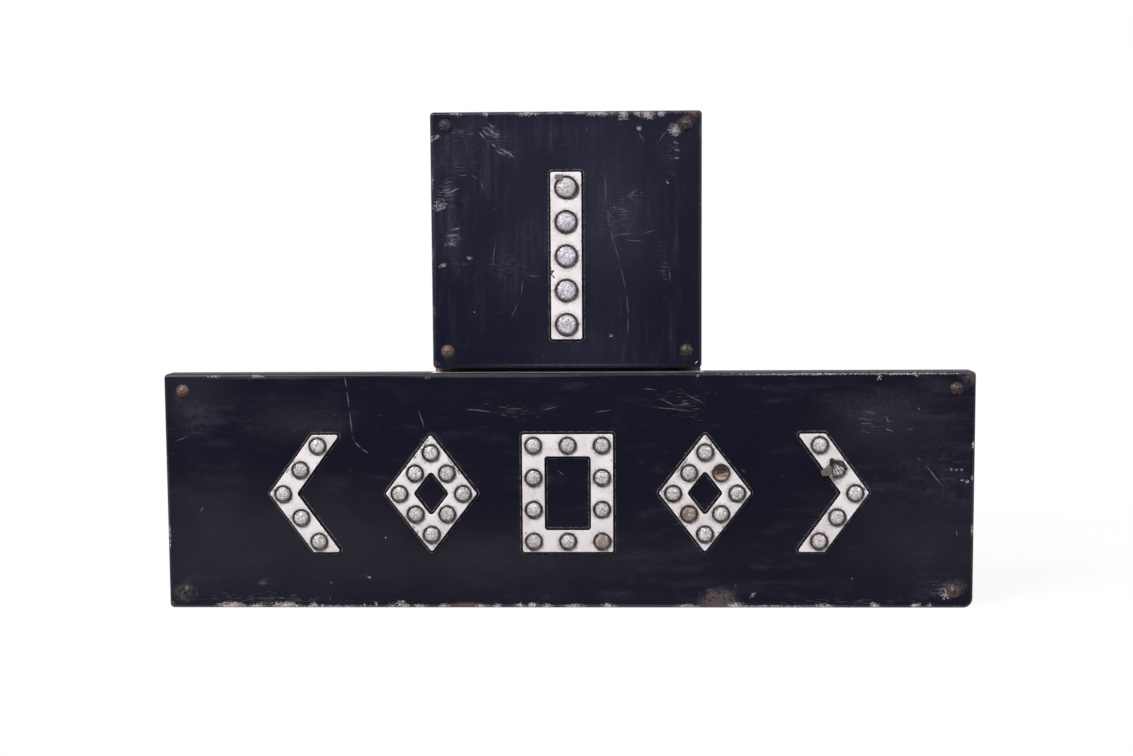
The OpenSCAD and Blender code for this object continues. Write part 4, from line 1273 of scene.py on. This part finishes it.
KEPT = [
    (PLATE, 0.5, ["joining_plate"]),
    (COVER, 0.3, ["number_back_cover", "word_back_cover"]),
    (HARDWARE, 0.5, ["number_corner_nuts", "word_corner_nuts", "joining_nuts"]),
    (HARDWARE, 0.25, ["number_corner_washers", "word_corner_washers", "joining_washers"]),
    (STEEL, 0.0, ["number_corner_sleeves", "word_corner_sleeves"] + [n + "_rings" for n in FIGURES]),
    (CUP, 0.0, [n + "_cups" for n in FIGURES]),
]
for material, bevel, names in KEPT:
    for name in names:
        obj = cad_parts[name]
        if not obj.material_slots:
            obj.data.materials.append(material)
        for held in obj.material_slots:
            held.material = material
        if bevel:
            obj.modifiers.new("weld", "WELD").merge_threshold = 1e-6
            edges = obj.modifiers.new("edges", "BEVEL")
            edges.width = bevel / 1000
            edges.segments = 2
            edges.limit_method = "ANGLE"
            edges.angle_limit = math.radians(50)
            weighted(obj)


# Floor, in metres: how far it reaches, and where the object's shadow on it fades out

FLOOR_X = 0.9
FLOOR_FRONT = -0.03
FLOOR_BACK = 0.75
FLOOR_DROP = 0.0002
SHADE_BACK = 0.12
SHADE_X = 0.38
SHADE_GLOW = 0.86


def pale_floor():
    """White where it is seen or mirrored, but for the object's shadow; all white at its ends."""
    s = Material("pale_floor")
    diffuse = s.node("BsdfDiffuse", {"Color": (0.9, 0.9, 0.9)}).outputs[0]
    glow = s.node("Emission", {"Color": (1.0, 1.0, 1.0), "Strength": 1.0}).outputs[0]
    seen = s.top(s.rays("Camera"), s.rays("Glossy", "Transmission"))
    near = s.ramp(s.y, 0, 1000 * FLOOR_FRONT)
    far = s.ramp(s.y, 1000 * SHADE_BACK, 1000 * FLOOR_BACK)
    wide = s.ramp(s.size(s.x), 1000 * SHADE_X, 1000 * FLOOR_X)
    share = s.ramp(s.top(near, s.top(far, wide)), 0, 1, SHADE_GLOW, 1.0)
    return s.close(s.node("MixShader", {0: seen * share, 1: diffuse, 2: glow}).outputs[0])


floor_z = (WORD["z"] - WORD["h"] / 2) / 1000 - FLOOR_DROP
floor_mesh = bpy.data.meshes.new("floor")
ends = [(-FLOOR_X, FLOOR_FRONT), (FLOOR_X, FLOOR_FRONT), (FLOOR_X, FLOOR_BACK), (-FLOOR_X, FLOOR_BACK)]
floor_mesh.from_pydata([(x, y, floor_z) for x, y in ends], [], [(0, 1, 2, 3)])
floor_mesh.materials.append(pale_floor())
floor = bpy.data.objects.new("floor", floor_mesh)
bpy.context.scene.collection.objects.link(floor)


# World: its level rises from the horizon to overhead, and a little towards the floor

ROOM_LOW = 0.06
ROOM_HIGH = 0.3
ROOM_FLOOR = 0.16


def studio():
    """A dim room that lights the sign, and white where it is seen or mirrored."""
    s = Shader(bpy.data.worlds.new("studio"), "OutputWorld")
    _, back, up = s.parts(s.node("TexCoord").outputs["Generated"])
    white = s.top(s.rays("Glossy", "Transmission") * s.ramp(back, 0.05, 0.35), s.rays("Camera"))
    level = s.ramp(up, -0.16, 0.12, ROOM_LOW, ROOM_HIGH) + s.ramp(up, -0.13, -0.26, 0.0, ROOM_FLOOR)
    room = s.node("Background", {0: (0.93, 0.95, 1.0), 1: level}).outputs[0]
    backdrop = s.node("Background", {0: (1.0, 1.0, 1.0), 1: 1.0}).outputs[0]
    return s.close(s.node("MixShader", {0: white, 1: room, 2: backdrop}).outputs[0])


bpy.context.scene.world = studio()


# Lamps and camera

def lamp(name, place, size, watts, color):
    """A soft rectangular lamp that points at the sign."""
    data = bpy.data.lights.new(name, "AREA")
    data.shape = "RECTANGLE"
    data.size, data.size_y = size
    data.energy = watts
    data.color = color
    obj = bpy.data.objects.new(name, data)
    obj.location = place
    obj.rotation_euler = (-Vector(place)).to_track_quat("-Z", "Y").to_euler()
    bpy.context.scene.collection.objects.link(obj)


lamp("key", (-1.1, -1.5, 1.5), (1.0, 0.7), 50.0, (1.0, 0.985, 0.97))
lamp("fill", (1.5, -1.6, 0.9), (1.0, 1.0), 14.0, (0.95, 0.97, 1.0))
lamp("back", (0.3, 1.6, 1.2), (1.6, 0.8), 22.0, (1.0, 1.0, 1.0))

# The camera's place in metres, and its turns to the left, up and about its own axis
CAMERA_PLACE = (0.0411, -1.4092, 0.1176)
CAMERA_TURNS = (1.721, -5.112, -0.359)
CAMERA_LENS = 52.431

camera_data = bpy.data.cameras.new("camera")
camera_data.sensor_width = 36.0
camera_data.lens = CAMERA_LENS
camera = bpy.data.objects.new("camera", camera_data)
left, up, roll = (math.radians(turn) for turn in CAMERA_TURNS)
level = Matrix.Rotation(left, 4, "Z") @ Matrix.Rotation(math.pi / 2 + up, 4, "X")
camera.matrix_world = Matrix.Translation(CAMERA_PLACE) @ level @ Matrix.Rotation(roll, 4, "Z")
bpy.context.scene.collection.objects.link(camera)
bpy.context.scene.camera = camera
bpy.context.scene.view_settings.view_transform = "Standard"
